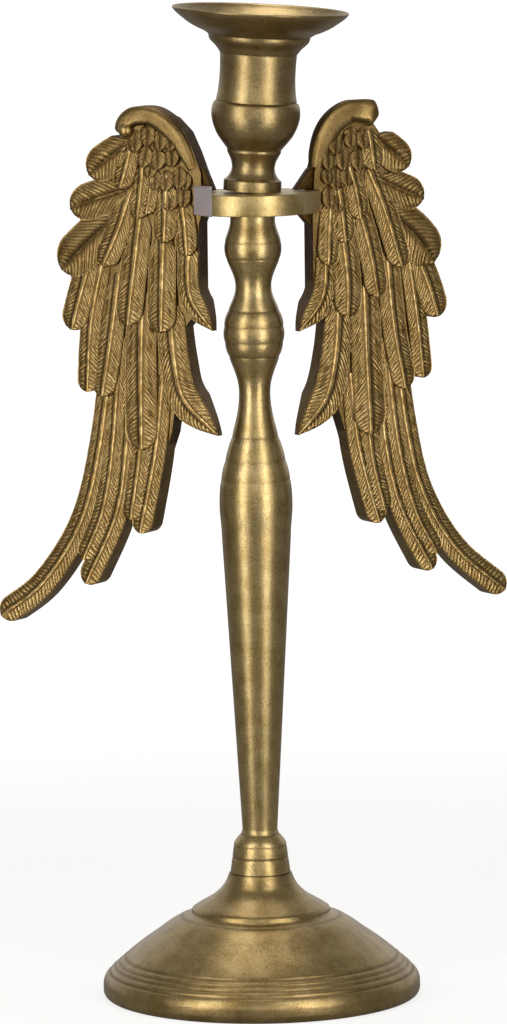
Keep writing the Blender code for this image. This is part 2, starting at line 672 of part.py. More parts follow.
def add_roll(side, collection):
    """The smooth rolled edge along the top of the wing."""

    def width_at(share):
        past = max(0.0, share - 0.75) / 0.25
        return ROLL_HALF_WIDTH * (1 - 0.55 * past**2)

    def lift_at(share, across):
        return ROLL_LIFT * (1 - 1.2 * across**4)

    bm = relief_sheet(side.roll, width_at, lift_at, ROLL_STEPS, 4)
    solid_sheet(f"wing_{side.name}_roll", bm, side, lambda vert: side.roll_back, collection)


def add_curl(side, collection):
    """The round curl that ends the rolled edge."""
    bm = bmesh.new()
    out, up, radius = (size * PATTERN_UNIT for size in side.curl)
    bmesh.ops.create_uvsphere(bm, u_segments=12, v_segments=8, radius=radius)
    geom = bm.verts[:] + bm.edges[:] + bm.faces[:]
    bmesh.ops.bisect_plane(bm, geom=geom, plane_co=(0, 0, 0), plane_no=(0, 0, 1), clear_inner=True)
    for vert in bm.verts:
        vert.co.z *= 0.6
        vert.co += Vector((out, up, 0.0))
    rim = [edge for edge in bm.edges if edge.is_boundary]
    wall = bmesh.ops.extrude_edge_only(bm, edges=rim)["geom"]
    for item in wall:
        if isinstance(item, bmesh.types.BMVert):
            item.co.z = EDGE_FEATHER_BACK + 0.2 * MM
    bmesh.ops.contextual_create(bm, geom=[edge for edge in bm.edges if edge.is_boundary])
    for vert in bm.verts:
        vert.co = place(side, *vert.co)
    bmesh.ops.triangulate(bm, faces=bm.faces)
    name = f"wing_{side.name}_curl"
    helper(add_mesh(name, mesh_from(name, bm), collection))


def add_lug(name, side, seat, size, way, collection):
    """A wedge from the wing's inner wall that bears on the bracket."""
    reach, rise = size
    bm = bmesh.new()
    bmesh.ops.create_cube(bm, size=1.0)
    for vert in bm.verts:
        inner = vert.co.x < 0
        far = vert.co.y > 0
        out = -reach if inner and not far else 2.0 * MM
        if inner and far:
            out = -0.2 * MM
        up = seat + way * (rise if far else 0.0)
        vert.co = (out, up, LUG_FRONT if vert.co.z > 0 else LUG_BACK)
    for vert in bm.verts:
        vert.co = place(side, *vert.co)
    bmesh.ops.triangulate(bm, faces=bm.faces)
    helper(add_mesh(name, mesh_from(name, bm), collection))


def flat_outline(name, corners, bottom, top, collection):
    """A plate cut to an outline of (x, y) corners, as a mesh that can be joined or cut."""
    curve = bpy.data.curves.new(name, "CURVE")
    curve.dimensions = "2D"
    curve.fill_mode = "BOTH"
    curve.extrude = (top - bottom) / 2
    spline = curve.splines.new("POLY")
    spline.points.add(len(corners) - 1)
    for point, (x, y) in zip(spline.points, corners):
        point.co = (x, y, 0.0, 1.0)
    spline.use_cyclic_u = True
    drawn = bpy.data.objects.new(name + " outline", curve)
    collection.objects.link(drawn)
    graph = bpy.context.evaluated_depsgraph_get()
    mesh = bpy.data.meshes.new_from_object(drawn.evaluated_get(graph))
    bpy.data.objects.remove(drawn)
    bm = bmesh.new()
    bm.from_mesh(mesh)
    bpy.data.meshes.remove(mesh)
    bmesh.ops.remove_doubles(bm, verts=bm.verts, dist=0.00001)
    bmesh.ops.translate(bm, verts=bm.verts, vec=(0, 0, (top + bottom) / 2))
    return add_mesh(name, mesh_from(name, bm), collection)


def wing_face(side, x, lift):
    """How far back the wing is at a distance from the axis, at a lift of its face."""
    return WING_FRONT + (x - side.inner) * math.tan(WING_SWEEP) - lift / math.cos(WING_SWEEP)


def make_bracket(collection, cutters):
    """Disc bracket with an ear in front of each wing, and a jaw behind it."""
    bm = bmesh.new()
    bmesh.ops.create_cone(
        bm,
        cap_ends=True,
        segments=BRACKET_SIDES,
        radius1=BRACKET_RADIUS,
        radius2=BRACKET_RADIUS,
        depth=BRACKET_THICKNESS,
    )
    rim = [edge for edge in bm.edges if abs(edge.verts[0].co.z - edge.verts[1].co.z) < 1e-6]
    bmesh.ops.bevel(
        bm, geom=rim, offset=BRACKET_EDGE, segments=1, profile=0.5, affect="EDGES", material=-1
    )
    bmesh.ops.translate(bm, verts=bm.verts, vec=(0, 0, BRACKET_MIDDLE))
    bracket = add_mesh("wing_bracket", mesh_from("wing_bracket", bm), collection)
    joined = bpy.data.collections.new("bracket ears")
    removed = bpy.data.collections.new("bracket cuts")
    cutters.children.link(joined)
    cutters.children.link(removed)
    jaw_back = -WING_THICKNESS - SLOT_GAP - JAW_WALL
    for side in (LEFT, RIGHT):
        root = BRACKET_RADIUS / 2
        reach = side.ear_reach
        front = (
            (root, -root),
            side.ear_front,
            (reach, -0.5 * MM),
            (reach, wing_face(side, reach, -WING_THICKNESS / 2)),
            (side.inner - 4 * MM, -0.3 * MM),
            (root, -0.3 * MM),
        )
        jaw = (
            (root, -1.0 * MM),
            (reach - 0.5 * MM, -1.0 * MM),
            (reach - 0.5 * MM, wing_face(side, reach - 0.5 * MM, jaw_back)),
            (root + 2 * MM, wing_face(side, root + 2 * MM, jaw_back)),
        )
        spans = (
            ("ear", front, BRACKET_BOTTOM - side.ear_drop, BRACKET_TOP + side.ear_rise),
            ("jaw", jaw, BRACKET_BOTTOM + 0.3 * MM, BRACKET_TOP - 0.3 * MM),
        )
        for label, corners, bottom, top in spans:
            placed = [(side.sign * x, y) for x, y in corners]
            helper(flat_outline(f"{label}_{side.name}", placed, bottom, top, joined))
        slot = (
            (-SLOT_GAP, WING_PLATE_FRONT + SLOT_GAP),
            (BRACKET_RADIUS, WING_PLATE_FRONT + SLOT_GAP),
            (BRACKET_RADIUS, -WING_THICKNESS - SLOT_GAP),
            (-SLOT_GAP, -WING_THICKNESS - SLOT_GAP),
        )
        corners = [tuple(place(side, out, 0.0, lift).xy) for out, lift in slot]
        low = BRACKET_BOTTOM - BRACKET_THICKNESS
        high = BRACKET_TOP + BRACKET_THICKNESS
        helper(flat_outline(f"slot_{side.name}", corners, low, high, removed))
        shank_radius = SCREW_RADIUS + BORE_CLEARANCE
        head_radius = SCREW_HEAD_RADIUS + BORE_CLEARANCE
        drill(f"screw_hole_{side.name}", side, shank_radius, -1.5 * MM, JAW_WALL + 1.5 * MM, removed)
        drill(f"screw_seat_{side.name}", side, head_radius, JAW_WALL, 3 * JAW_WALL, removed)
    bore = cylinder(
        "bracket_bore", BORE_RADIUS, BRACKET_BOTTOM - 1 * MM, BRACKET_TOP + 1 * MM, removed, 16
    )
    helper(bore)
    boolean(bracket, "UNION", joined)
    boolean(bracket, "DIFFERENCE", removed)
    shade_round(bracket.data)
    finish(bracket, (0.42, 0.33, 0.17), 0.3)


def screw_axis(side, out, lift):
    """Matrix that lays an upright piece along a screw that enters a wing from behind."""
    spot = place(side, out, 0.0, lift)
    back = Vector((-side.sign * math.sin(WING_SWEEP), math.cos(WING_SWEEP), 0.0))
    return Matrix.Translation(spot) @ back.to_track_quat("Z", "Y").to_matrix().to_4x4()


def drill(name, side, radius, start, end, collection):
    """A round cutter along the screw behind a wing, between two depths from the wing's slot."""
    bm = bmesh.new()
    bmesh.ops.create_cone(
        bm, cap_ends=True, segments=16, radius1=radius, radius2=radius, depth=end - start
    )
    bmesh.ops.translate(bm, verts=bm.verts, vec=(0, 0, (start + end) / 2))
    mesh = mesh_from(name, bm)
    mesh.transform(screw_axis(side, SCREW_OUT, -WING_THICKNESS - SLOT_GAP))
    helper(add_mesh(name, mesh, collection))


def make_screws(collection):
    """Pan head screws through the bracket's jaws, which press on the wings from behind."""
    for side in (LEFT, RIGHT):
        seat = JAW_WALL + SEAT_GAP
        outline = [
            (0.0, seat + SCREW_HEAD_HEIGHT),
            (SCREW_HEAD_RADIUS - 0.8 * MM, seat + SCREW_HEAD_HEIGHT),
            (SCREW_HEAD_RADIUS, seat + SCREW_HEAD_HEIGHT - 0.8 * MM),
            (SCREW_HEAD_RADIUS, seat),
            (SCREW_RADIUS, seat),
            (SCREW_RADIUS, 0.3 * MM),
            (SCREW_RADIUS - 0.3 * MM, 0.0),
            (0.0, 0.0),
        ]
        screw = turned(f"wing_screw_{side.name}", outline, 16, collection)
        screw.matrix_world = screw_axis(side, SCREW_OUT, -WING_THICKNESS - SLOT_GAP)
        finish(screw, (0.55, 0.54, 0.5), 0.35)


def make_tie_rod(seat_height, collection, cutters):
    """Tie rod from inside the foot into the candle cup, with its washer and nut."""
    washer_top = seat_height - SEAT_GAP
    washer_bottom = washer_top - WASHER_THICKNESS
    nut_top = washer_bottom - SEAT_GAP
    nut_bottom = nut_top - NUT_HEIGHT
    rod = cylinder(
        "tie_rod", ROD_RADIUS, nut_bottom - ROD_BELOW_NUT, CUP_BOTTOM + ROD_IN_CUP, collection, 16
    )
    finish(rod, (0.5, 0.49, 0.46), 0.4)
    outline = [
        (WASHER_RADIUS, washer_top),
        (WASHER_RADIUS, washer_bottom),
        (BORE_RADIUS, washer_bottom),
        (BORE_RADIUS, washer_top),
    ]
    washer = turned("rod_washer", outline, 24, collection)
    finish(washer, (0.5, 0.49, 0.46), 0.4)
    nut = cylinder("rod_nut", NUT_RADIUS, nut_bottom, nut_top, collection, 6)
    bore = cylinder("nut_bore", BORE_RADIUS, nut_bottom - 1 * MM, nut_top + 1 * MM, cutters, 16)
    boolean(nut, "DIFFERENCE", helper(bore))
    finish(nut, (0.5, 0.49, 0.46), 0.4)


def main():
    """Build every piece of the candlestick."""
    for obj in list(bpy.data.objects):
        bpy.data.objects.remove(obj)
    pieces = new_collection("angel candlestick")
    cutters = new_collection("cutters")
    cutters.hide_render = True
    seat_height = make_foot(pieces)
    make_stem(pieces)
    make_bracket(pieces, cutters)
    make_cup(pieces, cutters)
    make_tie_rod(seat_height, pieces, cutters)
    make_wing(LEFT, pieces, cutters)
    make_wing(RIGHT, pieces, cutters)
    make_screws(pieces)


main()
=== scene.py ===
"""Studio scene of a cast brass candlestick that carries a pair of angel wings.

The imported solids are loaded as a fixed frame. Each of them is replaced by a finer piece in the
same place, with a metal finish made of shader nodes. Lengths are in metres unless a name says
millimetres, X points to the viewer's right, Y to the back and Z up.
"""

from __future__ import annotations

import logging
import math
from collections.abc import Callable, Sequence
from dataclasses import dataclass
from enum import Enum, IntEnum

import bmesh
import bpy
from mathutils import Matrix, Vector, noise


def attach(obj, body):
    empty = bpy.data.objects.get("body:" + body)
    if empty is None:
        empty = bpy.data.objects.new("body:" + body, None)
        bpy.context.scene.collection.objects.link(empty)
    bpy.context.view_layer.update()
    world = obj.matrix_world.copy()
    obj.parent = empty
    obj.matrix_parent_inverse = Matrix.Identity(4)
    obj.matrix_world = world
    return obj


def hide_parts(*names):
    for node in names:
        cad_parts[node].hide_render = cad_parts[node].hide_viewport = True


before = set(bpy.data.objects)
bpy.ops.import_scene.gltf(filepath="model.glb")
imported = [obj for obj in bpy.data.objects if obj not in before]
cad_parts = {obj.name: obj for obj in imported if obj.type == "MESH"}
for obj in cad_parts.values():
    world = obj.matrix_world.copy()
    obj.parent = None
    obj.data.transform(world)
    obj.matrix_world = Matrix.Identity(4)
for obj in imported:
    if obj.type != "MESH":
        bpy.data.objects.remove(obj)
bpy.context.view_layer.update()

log = logging.getLogger("candlestick")

MM = 0.001
ROOT_BODY = "root"

# Two attributes tell a finish how to colour its piece. The tone and light of a point runs from
# 0, dark, to 1, pale: low in a toned hollow and where shade is painted, high on a rubbed crest
# and where a highlight is painted. The painted reflection of a face says how much of a pale
# reflection is painted on it.
TONE_AND_LIGHT = "tone_and_light"
PAINTED_REFLECTION = "painted_reflection"
EVEN_TONE = 0.5
INSIDE_TONE = 0.4
BACK_TONE = 0.35
BORE_TONE = 0.3

# Points closer than this are one point, in metres.
MERGE_M = 0.000002
# A length below this is none, and a curve ends this much before its last point.
TINY = 1e-9
# A curve's direction is measured over this share of it to both sides.
NEAR = 0.01

ROD_BORE_MM = 3.3
GAP_MM = 0.3

Outline = list[tuple[float, float]]
Colour = tuple[float, float, float, float]


class Slot(Enum):
    """The record's material slots, which this script does not assign."""

    TURNED = "turned_brass"
    BRACKET = "bracket_brass"
    WING = "wing_brass"
    STEEL = "steel"


class FeatherCut(Enum):
    """How the end and the barbs of a feather are cut."""

    ROUND = "round tip"
    POINTED = "pointed tip"
    LOBE = "broad lobe of the outer edge"
    SCALE = "small covert"


# Shader nodes


def linear(hex_colour: str) -> Colour:
    """Turn an sRGB colour into the linear values that a shader takes.

    Args:
        hex_colour: the colour as #RRGGBB.

    Returns:
        Linear red, green, blue and an alpha of 1.
    """
    channels = [int(hex_colour[i : i + 2], 16) / 255 for i in (1, 3, 5)]
    red, green, blue = (
        c / 12.92 if c <= 0.04045 else ((c + 0.055) / 1.055) ** 2.4 for c in channels
    )
    return (red, green, blue, 1.0)


def add_node(
    tree: bpy.types.NodeTree,
    kind: str,
    settings: dict[str, object] | None = None,
    inputs: dict[str | int, object] | None = None,
) -> bpy.types.Node:
    """Add a node to a tree, set it up and link it.

    Args:
        tree: the node tree.
        kind: the node's type name.
        settings: attributes of the node itself.
        inputs: values or output sockets for its inputs, by name or number.

    Returns:
        The new node.
    """
    node = tree.nodes.new(kind)
    for key, value in (settings or {}).items():
        setattr(node, key, value)
    for key, value in (inputs or {}).items():
        if isinstance(value, bpy.types.NodeSocket):
            tree.links.new(value, node.inputs[key])
        else:
            node.inputs[key].default_value = value
    return node


def empty_material(name: str) -> bpy.types.Material:
    """Make a node material with nothing in its tree.

    Args:
        name: the material's name.

    Returns:
        The material.
    """
    material = bpy.data.materials.new(name)
    material.use_nodes = True
    material.node_tree.nodes.clear()
    return material


def per_metre(size_mm: float) -> float:
    """The scale of a pattern whose features are this many millimetres apart."""
    return 1.0 / (size_mm * MM)


@dataclass(frozen=True)
class AgedBrass:
    """Cast yellow brass (about 65 % copper), toned dark and rubbed back, under a thin lacquer.

    The tone stays in the hollows and the metal shows again on what a hand or a rag touches, so
    the eye sees a brown metal with warm, low gloss highlights and pale crests.

    Casting sand and turning marks are about 0.2 mm apart on the real one, which is less than a
    pixel of the render, so grain_mm and lathe_mm draw them coarser.
    """

    name: str
    body: str = "#AB9263"
    stain: str = "#8F7648"
    hollow: str = "#3A2408"
    crest: str = "#CDB07A"
    glow: str = "#B87A24"
    # Colour of the pale reflection that is painted on the bracket's ear facets.
    painted_reflection: str = "#C0B7BA"
    patina: float = 0.88
    roughness: float = 0.3
    mottle_mm: float = 7.0
    grain_mm: float = 0.5
    grain_height_mm: float = 0.07
    speckle: float = 0.6
    pit_mm: float = 2.4
    pit_depth_mm: float = 0.12
    pit_amount: float = 0.4
    worn_mm: float = 1.6
    worn_amount: float = 0.0
    lathe_mm: float = 0.0
    lathe_height_mm: float = 0.0
    lacquer: float = 0.1
    lacquer_blur: float = 0.28
    tone_blur: float = 0.25
    # How much less metallic the painted reflection on the ear facets is.
    reflection_matte: float = 0.5

    def material(self) -> bpy.types.Material:
        """Build the shader.

        Returns:
            The material, which reads Object coordinates and the tone and light attribute.
        """
        material = empty_material(self.name)
        tree = material.node_tree
        place = add_node(tree, "ShaderNodeTexCoord").outputs["Object"]
        tone_and_light = add_node(tree, "ShaderNodeAttribute", {"attribute_name": TONE_AND_LIGHT}).outputs["Fac"]
        painted_reflection = add_node(tree, "ShaderNodeAttribute", {"attribute_name": PAINTED_REFLECTION}).outputs["Fac"]
        mottle = add_node(
            tree,
            "ShaderNodeTexNoise",
            None,
            {"Vector": place, "Scale": per_metre(self.mottle_mm), "Detail": 4.0, "Roughness": 0.6},
        ).outputs["Fac"]
        grain = add_node(
            tree,
            "ShaderNodeTexNoise",
            None,
            {"Vector": place, "Scale": per_metre(self.grain_mm), "Detail": 3.0, "Roughness": 0.65},
        ).outputs["Fac"]
        pit_cells = add_node(
            tree,
            "ShaderNodeTexVoronoi",
            {"feature": "F1"},
            {"Vector": place, "Scale": per_metre(self.pit_mm), "Randomness": 1.0},
        ).outputs["Distance"]
        pits = add_node(
            tree,
            "ShaderNodeMapRange",
            {"interpolation_type": "SMOOTHSTEP"},
            {"Value": pit_cells, "From Min": 0.05, "From Max": 0.16, "To Min": 1.0, "To Max": 0.0},
        ).outputs["Result"]
        # Only some of the cells hold a pit, so a broader noise switches them on.
        pit_patch = add_node(
            tree,
            "ShaderNodeMapRange",
            None,
            {"Value": mottle, "From Min": 0.45, "From Max": 0.6, "To Max": self.pit_amount},
        ).outputs["Result"]
        pits = add_node(
            tree, "ShaderNodeMath", {"operation": "MULTIPLY"}, {0: pits, 1: pit_patch}
        ).outputs["Value"]

        stained = add_node(
            tree,
            "ShaderNodeMapRange",
            None,
            {"Value": mottle, "From Min": 0.38, "From Max": 0.68},
        ).outputs["Result"]
        colour = self.blend(tree, stained, linear(self.body), linear(self.stain))
        speckle = add_node(
            tree,
            "ShaderNodeMapRange",
            None,
            {"Value": grain, "From Min": 0.5, "From Max": 0.7, "To Max": self.speckle},
        ).outputs["Result"]
        colour = self.blend(tree, speckle, colour, linear(self.hollow))
        # The crest colour shows on rubbed crests and where a highlight is painted.
        rubbed = add_node(
            tree, "ShaderNodeMapRange", None, {"Value": tone_and_light, "From Min": 0.52, "From Max": 0.95}
        ).outputs["Result"]
        # The lacquer has worn off the crests in places, where the metal shows orange.
        worn = add_node(
            tree,
            "ShaderNodeTexNoise",
            None,
            {"Vector": place, "Scale": per_metre(self.worn_mm), "Detail": 2.0},
        ).outputs["Fac"]
        worn = add_node(
            tree,
            "ShaderNodeMapRange",
            None,
            {"Value": worn, "From Min": 0.46, "From Max": 0.6, "To Max": self.worn_amount},
        ).outputs["Result"]
        touched = self.blend(tree, worn, linear(self.crest), linear(self.glow))
        colour = self.blend(tree, rubbed, colour, touched)
        # The hollow colour is the tone in the hollows, and also the painted shade on walls, gaps,
        # slits and lugs.
        sunk_and_shaded = add_node(
            tree,
            "ShaderNodeMapRange",
            None,
            {"Value": tone_and_light, "From Max": 0.5, "To Min": self.patina, "To Max": 0.0},
        ).outputs["Result"]
        colour = self.blend(tree, sunk_and_shaded, colour, linear(self.hollow))
        colour = self.blend(tree, pits, colour, linear(self.hollow))
        colour = self.blend(tree, painted_reflection, colour, linear(self.painted_reflection))
        # The reflection painted on the ear facets is pale and less metallic than the metal around
        # it.
        metal_share = add_node(
            tree,
            "ShaderNodeMath",
            {"operation": "MULTIPLY_ADD"},
            {0: painted_reflection, 1: -self.reflection_matte, 2: 1.0},
        ).outputs["Value"]

        # The tone in the hollows, and the painted shade, are duller than the metal.
        gloss = add_node(
            tree,
            "ShaderNodeMath",
            {"operation": "MULTIPLY_ADD"},
            {0: sunk_and_shaded, 1: self.tone_blur, 2: self.roughness},
        ).outputs["Value"]
        normal = add_node(
            tree,
            "ShaderNodeBump",
            None,
            {"Height": grain, "Distance": self.grain_height_mm * MM},
        ).outputs["Normal"]
        normal = add_node(
            tree,
            "ShaderNodeBump",
            {"invert": True},
            {"Height": pits, "Distance": self.pit_depth_mm * MM, "Normal": normal},
        ).outputs["Normal"]
        if self.lathe_mm:
            # Turning marks run round the axis, so this noise changes only along Z.
            along = add_node(
                tree,
                "ShaderNodeMapping",
                None,
                {"Vector": place, "Scale": (0.0, 0.0, per_metre(self.lathe_mm))},
            ).outputs["Vector"]
            rings = add_node(
                tree,
                "ShaderNodeTexNoise",
                None,
                {"Vector": along, "Scale": 1.0, "Detail": 3.0, "Roughness": 0.7},
            ).outputs["Fac"]
            normal = add_node(
                tree,
                "ShaderNodeBump",
                None,
                {"Height": rings, "Distance": self.lathe_height_mm * MM, "Normal": normal},
            ).outputs["Normal"]
        metal = add_node(
            tree,
            "ShaderNodeBsdfPrincipled",
            None,
            {
                "Base Color": colour,
                "Metallic": metal_share,
                "Roughness": gloss,
                "Normal": normal,
                "Coat Weight": self.lacquer,
                "Coat Roughness": self.lacquer_blur,
            },
        )
        add_node(tree, "ShaderNodeOutputMaterial", None, {"Surface": metal.outputs["BSDF"]})
        return material

    def blend(
        self, tree: bpy.types.NodeTree, share: bpy.types.NodeSocket, first: object, second: object
    ) -> bpy.types.NodeSocket:
        """Mix two colours.

        Args:
            tree: the material's node tree.
            share: how much of the second colour shows.
            first: a colour or the socket of one.
            second: a colour or the socket of one.

        Returns:
            The mixed colour's socket.
        """
        node = add_node(
            tree,
            "ShaderNodeMix",
            {"data_type": "RGBA"},
            {0: share, 6: first, 7: second},
        )
        return node.outputs[2]


@dataclass(frozen=True)
class PlatedSteel:
    """Machined mild steel with dull zinc plating: grey, evenly blurred highlights."""

    name: str
    face: str = "#9C9A94"
    dull: str = "#6F6C66"
    least_blur: float = 0.32
    most_blur: float = 0.48
    mottle_mm: float = 2.0
    mottle_height_mm: float = 0.02

    def material(self) -> bpy.types.Material:
        """Build the shader.

        Returns:
            The material.
        """
        material = empty_material(self.name)
        tree = material.node_tree
        place = add_node(tree, "ShaderNodeTexCoord").outputs["Object"]
        mottle = add_node(
            tree,
            "ShaderNodeTexNoise",
            None,
            {"Vector": place, "Scale": per_metre(self.mottle_mm), "Detail": 4.0},
        ).outputs["Fac"]
        colour = add_node(
            tree,
            "ShaderNodeMix",
            {"data_type": "RGBA"},
            {0: mottle, 6: linear(self.face), 7: linear(self.dull)},
        ).outputs[2]
        gloss = add_node(
            tree,
            "ShaderNodeMapRange",
            None,
            {"Value": mottle, "To Min": self.least_blur, "To Max": self.most_blur},
        ).outputs["Result"]
        normal = add_node(
            tree,
            "ShaderNodeBump",
            None,
            {"Height": mottle, "Distance": self.mottle_height_mm * MM},
        ).outputs["Normal"]
        metal = add_node(
            tree,
            "ShaderNodeBsdfPrincipled",
            None,
            {"Base Color": colour, "Metallic": 1.0, "Roughness": gloss, "Normal": normal},
        )
        add_node(tree, "ShaderNodeOutputMaterial", None, {"Surface": metal.outputs["BSDF"]})
        return material


@dataclass(frozen=True)
class StudioPaper:
    """Matt white background paper: an even pale ground that keeps a soft shadow.

    It is painted grey, so that it throws little light on the object. A glow that the camera
    sees, and the metal a little, lifts it to white.
    """

    name: str
    face: str = "#7C7A76"
    near_lift: float = 0.78
    far_lift: float = 1.0
    mirror_share: float = 0.12
    near_m: float = 0.25
    far_m: float = 1.1

    def material(self) -> bpy.types.Material:
        """Build the shader.

        Returns:
            The material.
        """
        material = empty_material(self.name)
        tree = material.node_tree
        rays = add_node(tree, "ShaderNodeLightPath").outputs
        mirrored = add_node(
            tree,
            "ShaderNodeMath",
            {"operation": "MAXIMUM"},
            {0: rays["Is Glossy Ray"], 1: rays["Is Transmission Ray"]},
        ).outputs["Value"]
        seen = add_node(
            tree,
            "ShaderNodeMath",
            {"operation": "MULTIPLY_ADD"},
            {0: mirrored, 1: self.mirror_share, 2: rays["Is Camera Ray"]},
        ).outputs["Value"]
        # The glow is a little lower round the candlestick, so that its shadow stays visible.
        place = add_node(tree, "ShaderNodeTexCoord").outputs["Object"]
        away = add_node(
            tree, "ShaderNodeVectorMath", {"operation": "LENGTH"}, {0: place}
        ).outputs["Value"]
        lift = add_node(
            tree,
            "ShaderNodeMapRange",
            {"interpolation_type": "SMOOTHSTEP"},
            {
                "Value": away,
                "From Min": self.near_m,
                "From Max": self.far_m,
                "To Min": self.near_lift,
                "To Max": self.far_lift,
            },
        ).outputs["Result"]
        strength = add_node(
            tree, "ShaderNodeMath", {"operation": "MULTIPLY"}, {0: seen, 1: lift}
        ).outputs["Value"]
        paper = add_node(tree, "ShaderNodeBsdfDiffuse", None, {"Color": linear(self.face)})
        glow = add_node(
            tree, "ShaderNodeEmission", None, {"Color": (1.0, 1.0, 1.0, 1.0), "Strength": strength}
        )
        both = add_node(
            tree, "ShaderNodeAddShader", None, {0: paper.outputs["BSDF"], 1: glow.outputs[0]}
        )
        add_node(tree, "ShaderNodeOutputMaterial", None, {"Surface": both.outputs[0]})
        return material


# Curves and outlines


def ogee(start: Sequence[float], end: Sequence[float], steps: int, late: float = 1.0) -> Outline:
    """Draw an S-shaped cut that leaves and arrives upright.

    Args:
        start: radius and height where it leaves.
        end: radius and height where it arrives.
        steps: how many points to give.
        late: over 1 for a curve that turns later.

    Returns:
        The points after start.
    """
    points = []
    for step in range(1, steps + 1):
        share = step / steps
        blend = (1 - math.cos(math.pi * share**late)) / 2
        radius = start[0] + (end[0] - start[0]) * blend
        points.append((radius, start[1] + (end[1] - start[1]) * share))
    return points


def on_curve(points: Sequence[Sequence[float]], share: float) -> Vector:
    """Find a place on a smooth curve through points.

    Args:
        points: the points, two numbers each.
        share: how far along, from 0 at the first point to 1 at the last.

    Returns:
        The place on the curve.
    """
    spans = len(points) - 1
    at = min(share * spans, spans - TINY)
    i = int(at)
    t = at - i
    first = Vector(points[i])
    second = Vector(points[i + 1])
    before = Vector(points[i - 1]) if i else 2 * first - second
    after = Vector(points[i + 2]) if i + 2 <= spans else 2 * second - first
    return 0.5 * (
        2 * first
        + (second - before) * t
        + (2 * before - 5 * first + 4 * second - after) * t**2
        + (3 * first - before - 3 * second + after) * t**3
    )


def across_at(spot_at: Callable[[float], Vector], share: float) -> Vector:
    """Find the direction square to a curve, on its right.

    Args:
        spot_at: gives the curve's point for a share of it.
        share: where to look, from 0 to 1.

    Returns:
        A unit vector in the pattern's plane.
    """
    ahead = spot_at(min(1.0, share + NEAR)) - spot_at(max(0.0, share - NEAR))
    ahead.normalize()
    return Vector((ahead.y, -ahead.x))


def uneven(*numbers: float) -> float:
    """A smooth, irregular number between about -1 and 1 for a place of three numbers."""
    return noise.noise(Vector(numbers))


def fair(points: Sequence[tuple[float, float]], step_mm: float = 0.3) -> Outline:
    """Draw a smooth curve through measured points.

    Args:
        points: radius and height of each point.
        step_mm: about how far apart the new points are.

    Returns:
        Points along the curve, both ends included.
    """
    length = sum(math.dist(a, b) for a, b in zip(points, points[1:]))
    steps = max(2, round(length / (step_mm * MM)))
    return [tuple(on_curve(points, step / steps)) for step in range(steps + 1)]


def in_mm(*points: tuple[float, float]) -> Outline:
    """Points that are written in millimetres, in metres."""
    return [(radius * MM, height * MM) for radius, height in points]


@dataclass(frozen=True)
class Mark:
    """A turned groove at a height of an outline. Its relief is less by its depth times dark."""

    height_mm: float
    depth_mm: float = 0.3
    width_mm: float = 0.35
    dark: float = 1.6


def scribe(outline: Outline, marks: Sequence[Mark]) -> list[tuple[float, float, float]]:
    """Cut grooves into an outline, square to it.

    Args:
        outline: radius and height of each point, with the metal on the axis side.
        marks: the grooves.

    Returns:
        Radius, height and relief of each point, where a relief of 0 is a hollow and 1 a crest.
    """
    cut = []
    for i, (radius, height) in enumerate(outline):
        before = Vector(outline[max(0, i - 1)])
        after = Vector(outline[min(len(outline) - 1, i + 1)])
        along = (after - before).normalized()
        inward = Vector((-along.y, along.x))
        if inward.x > 0:
            inward.negate()
        depth = 0.0
        tone = EVEN_TONE
        for mark in marks:
            far = (height / MM - mark.height_mm) / mark.width_mm
            share = math.exp(-(far**2))
            depth += mark.depth_mm * MM * share
            tone -= min(EVEN_TONE, mark.dark * mark.depth_mm) * share
        spot = Vector((radius, height)) + inward * depth
        cut.append((spot.x, spot.y, min(1.0, max(0.0, tone))))
    return cut


def thinned(
    outline: list[tuple[float, float, float]], play_mm: float = 0.006, longest_mm: float = 6.0
) -> list[tuple[float, float, float]]:
    """Drop the points of an outline that lie nearly on a straight line.

    Args:
        outline: radius, height and relief of each point.
        play_mm: how far a dropped point may lie from the line.
        longest_mm: about how long a straight line may be.

    Returns:
        The points that are kept.
    """
    kept = [outline[0]]
    start = 0
    for end in range(2, len(outline)):
        first = Vector(outline[start][:2])
        line = Vector(outline[end][:2]) - first
        far = 0.0
        for point in outline[start + 1 : end]:
            offset = Vector(point[:2]) - first
            if line.length > TINY:
                far = max(far, abs(line.x * offset.y - line.y * offset.x) / line.length)
        if far > play_mm * MM or line.length > longest_mm * MM:
            kept.append(outline[end - 1])
            start = end - 1
    kept.append(outline[-1])
    return kept


# Mesh tools


def tone_and_light_layer(bm: bmesh.types.BMesh) -> bmesh.types.BMLayerItem:
    """The layer that holds the relief of each point, made if it isn't there."""
    return bm.verts.layers.float.get(TONE_AND_LIGHT) or bm.verts.layers.float.new(TONE_AND_LIGHT)


def spin_outline(
    bm: bmesh.types.BMesh, outline: Sequence[tuple[float, float, float]], steps: int
) -> None:
    """Turn an open outline about the Z axis into a closed skin.

    Args:
        bm: the mesh to add to.
        outline: radius, height and relief of each point.
        steps: how many faces go round.
    """
    layer = tone_and_light_layer(bm)
    verts = []
    for radius, height, tone in outline:
        vert = bm.verts.new((radius, 0.0, height))
        vert[layer] = tone
        verts.append(vert)
    edges = [bm.edges.new(pair) for pair in zip(verts, verts[1:])]
    bmesh.ops.spin(
        bm,
        geom=verts + edges,
        cent=(0, 0, 0),
        axis=(0, 0, 1),
        angle=math.tau,
        steps=steps,
        use_merge=True,
    )
    bmesh.ops.remove_doubles(bm, verts=bm.verts, dist=MERGE_M)


def evenly_toned(outline: Outline) -> list[tuple[float, float, float]]:
    """Give every point of an outline the relief of a plain surface."""
    return [(radius, height, EVEN_TONE) for radius, height in outline]


def tone_all(bm: bmesh.types.BMesh, tone: float) -> None:
    """Give every point of a mesh the same relief."""
    layer = tone_and_light_layer(bm)
    for vert in bm.verts:
        vert[layer] = tone


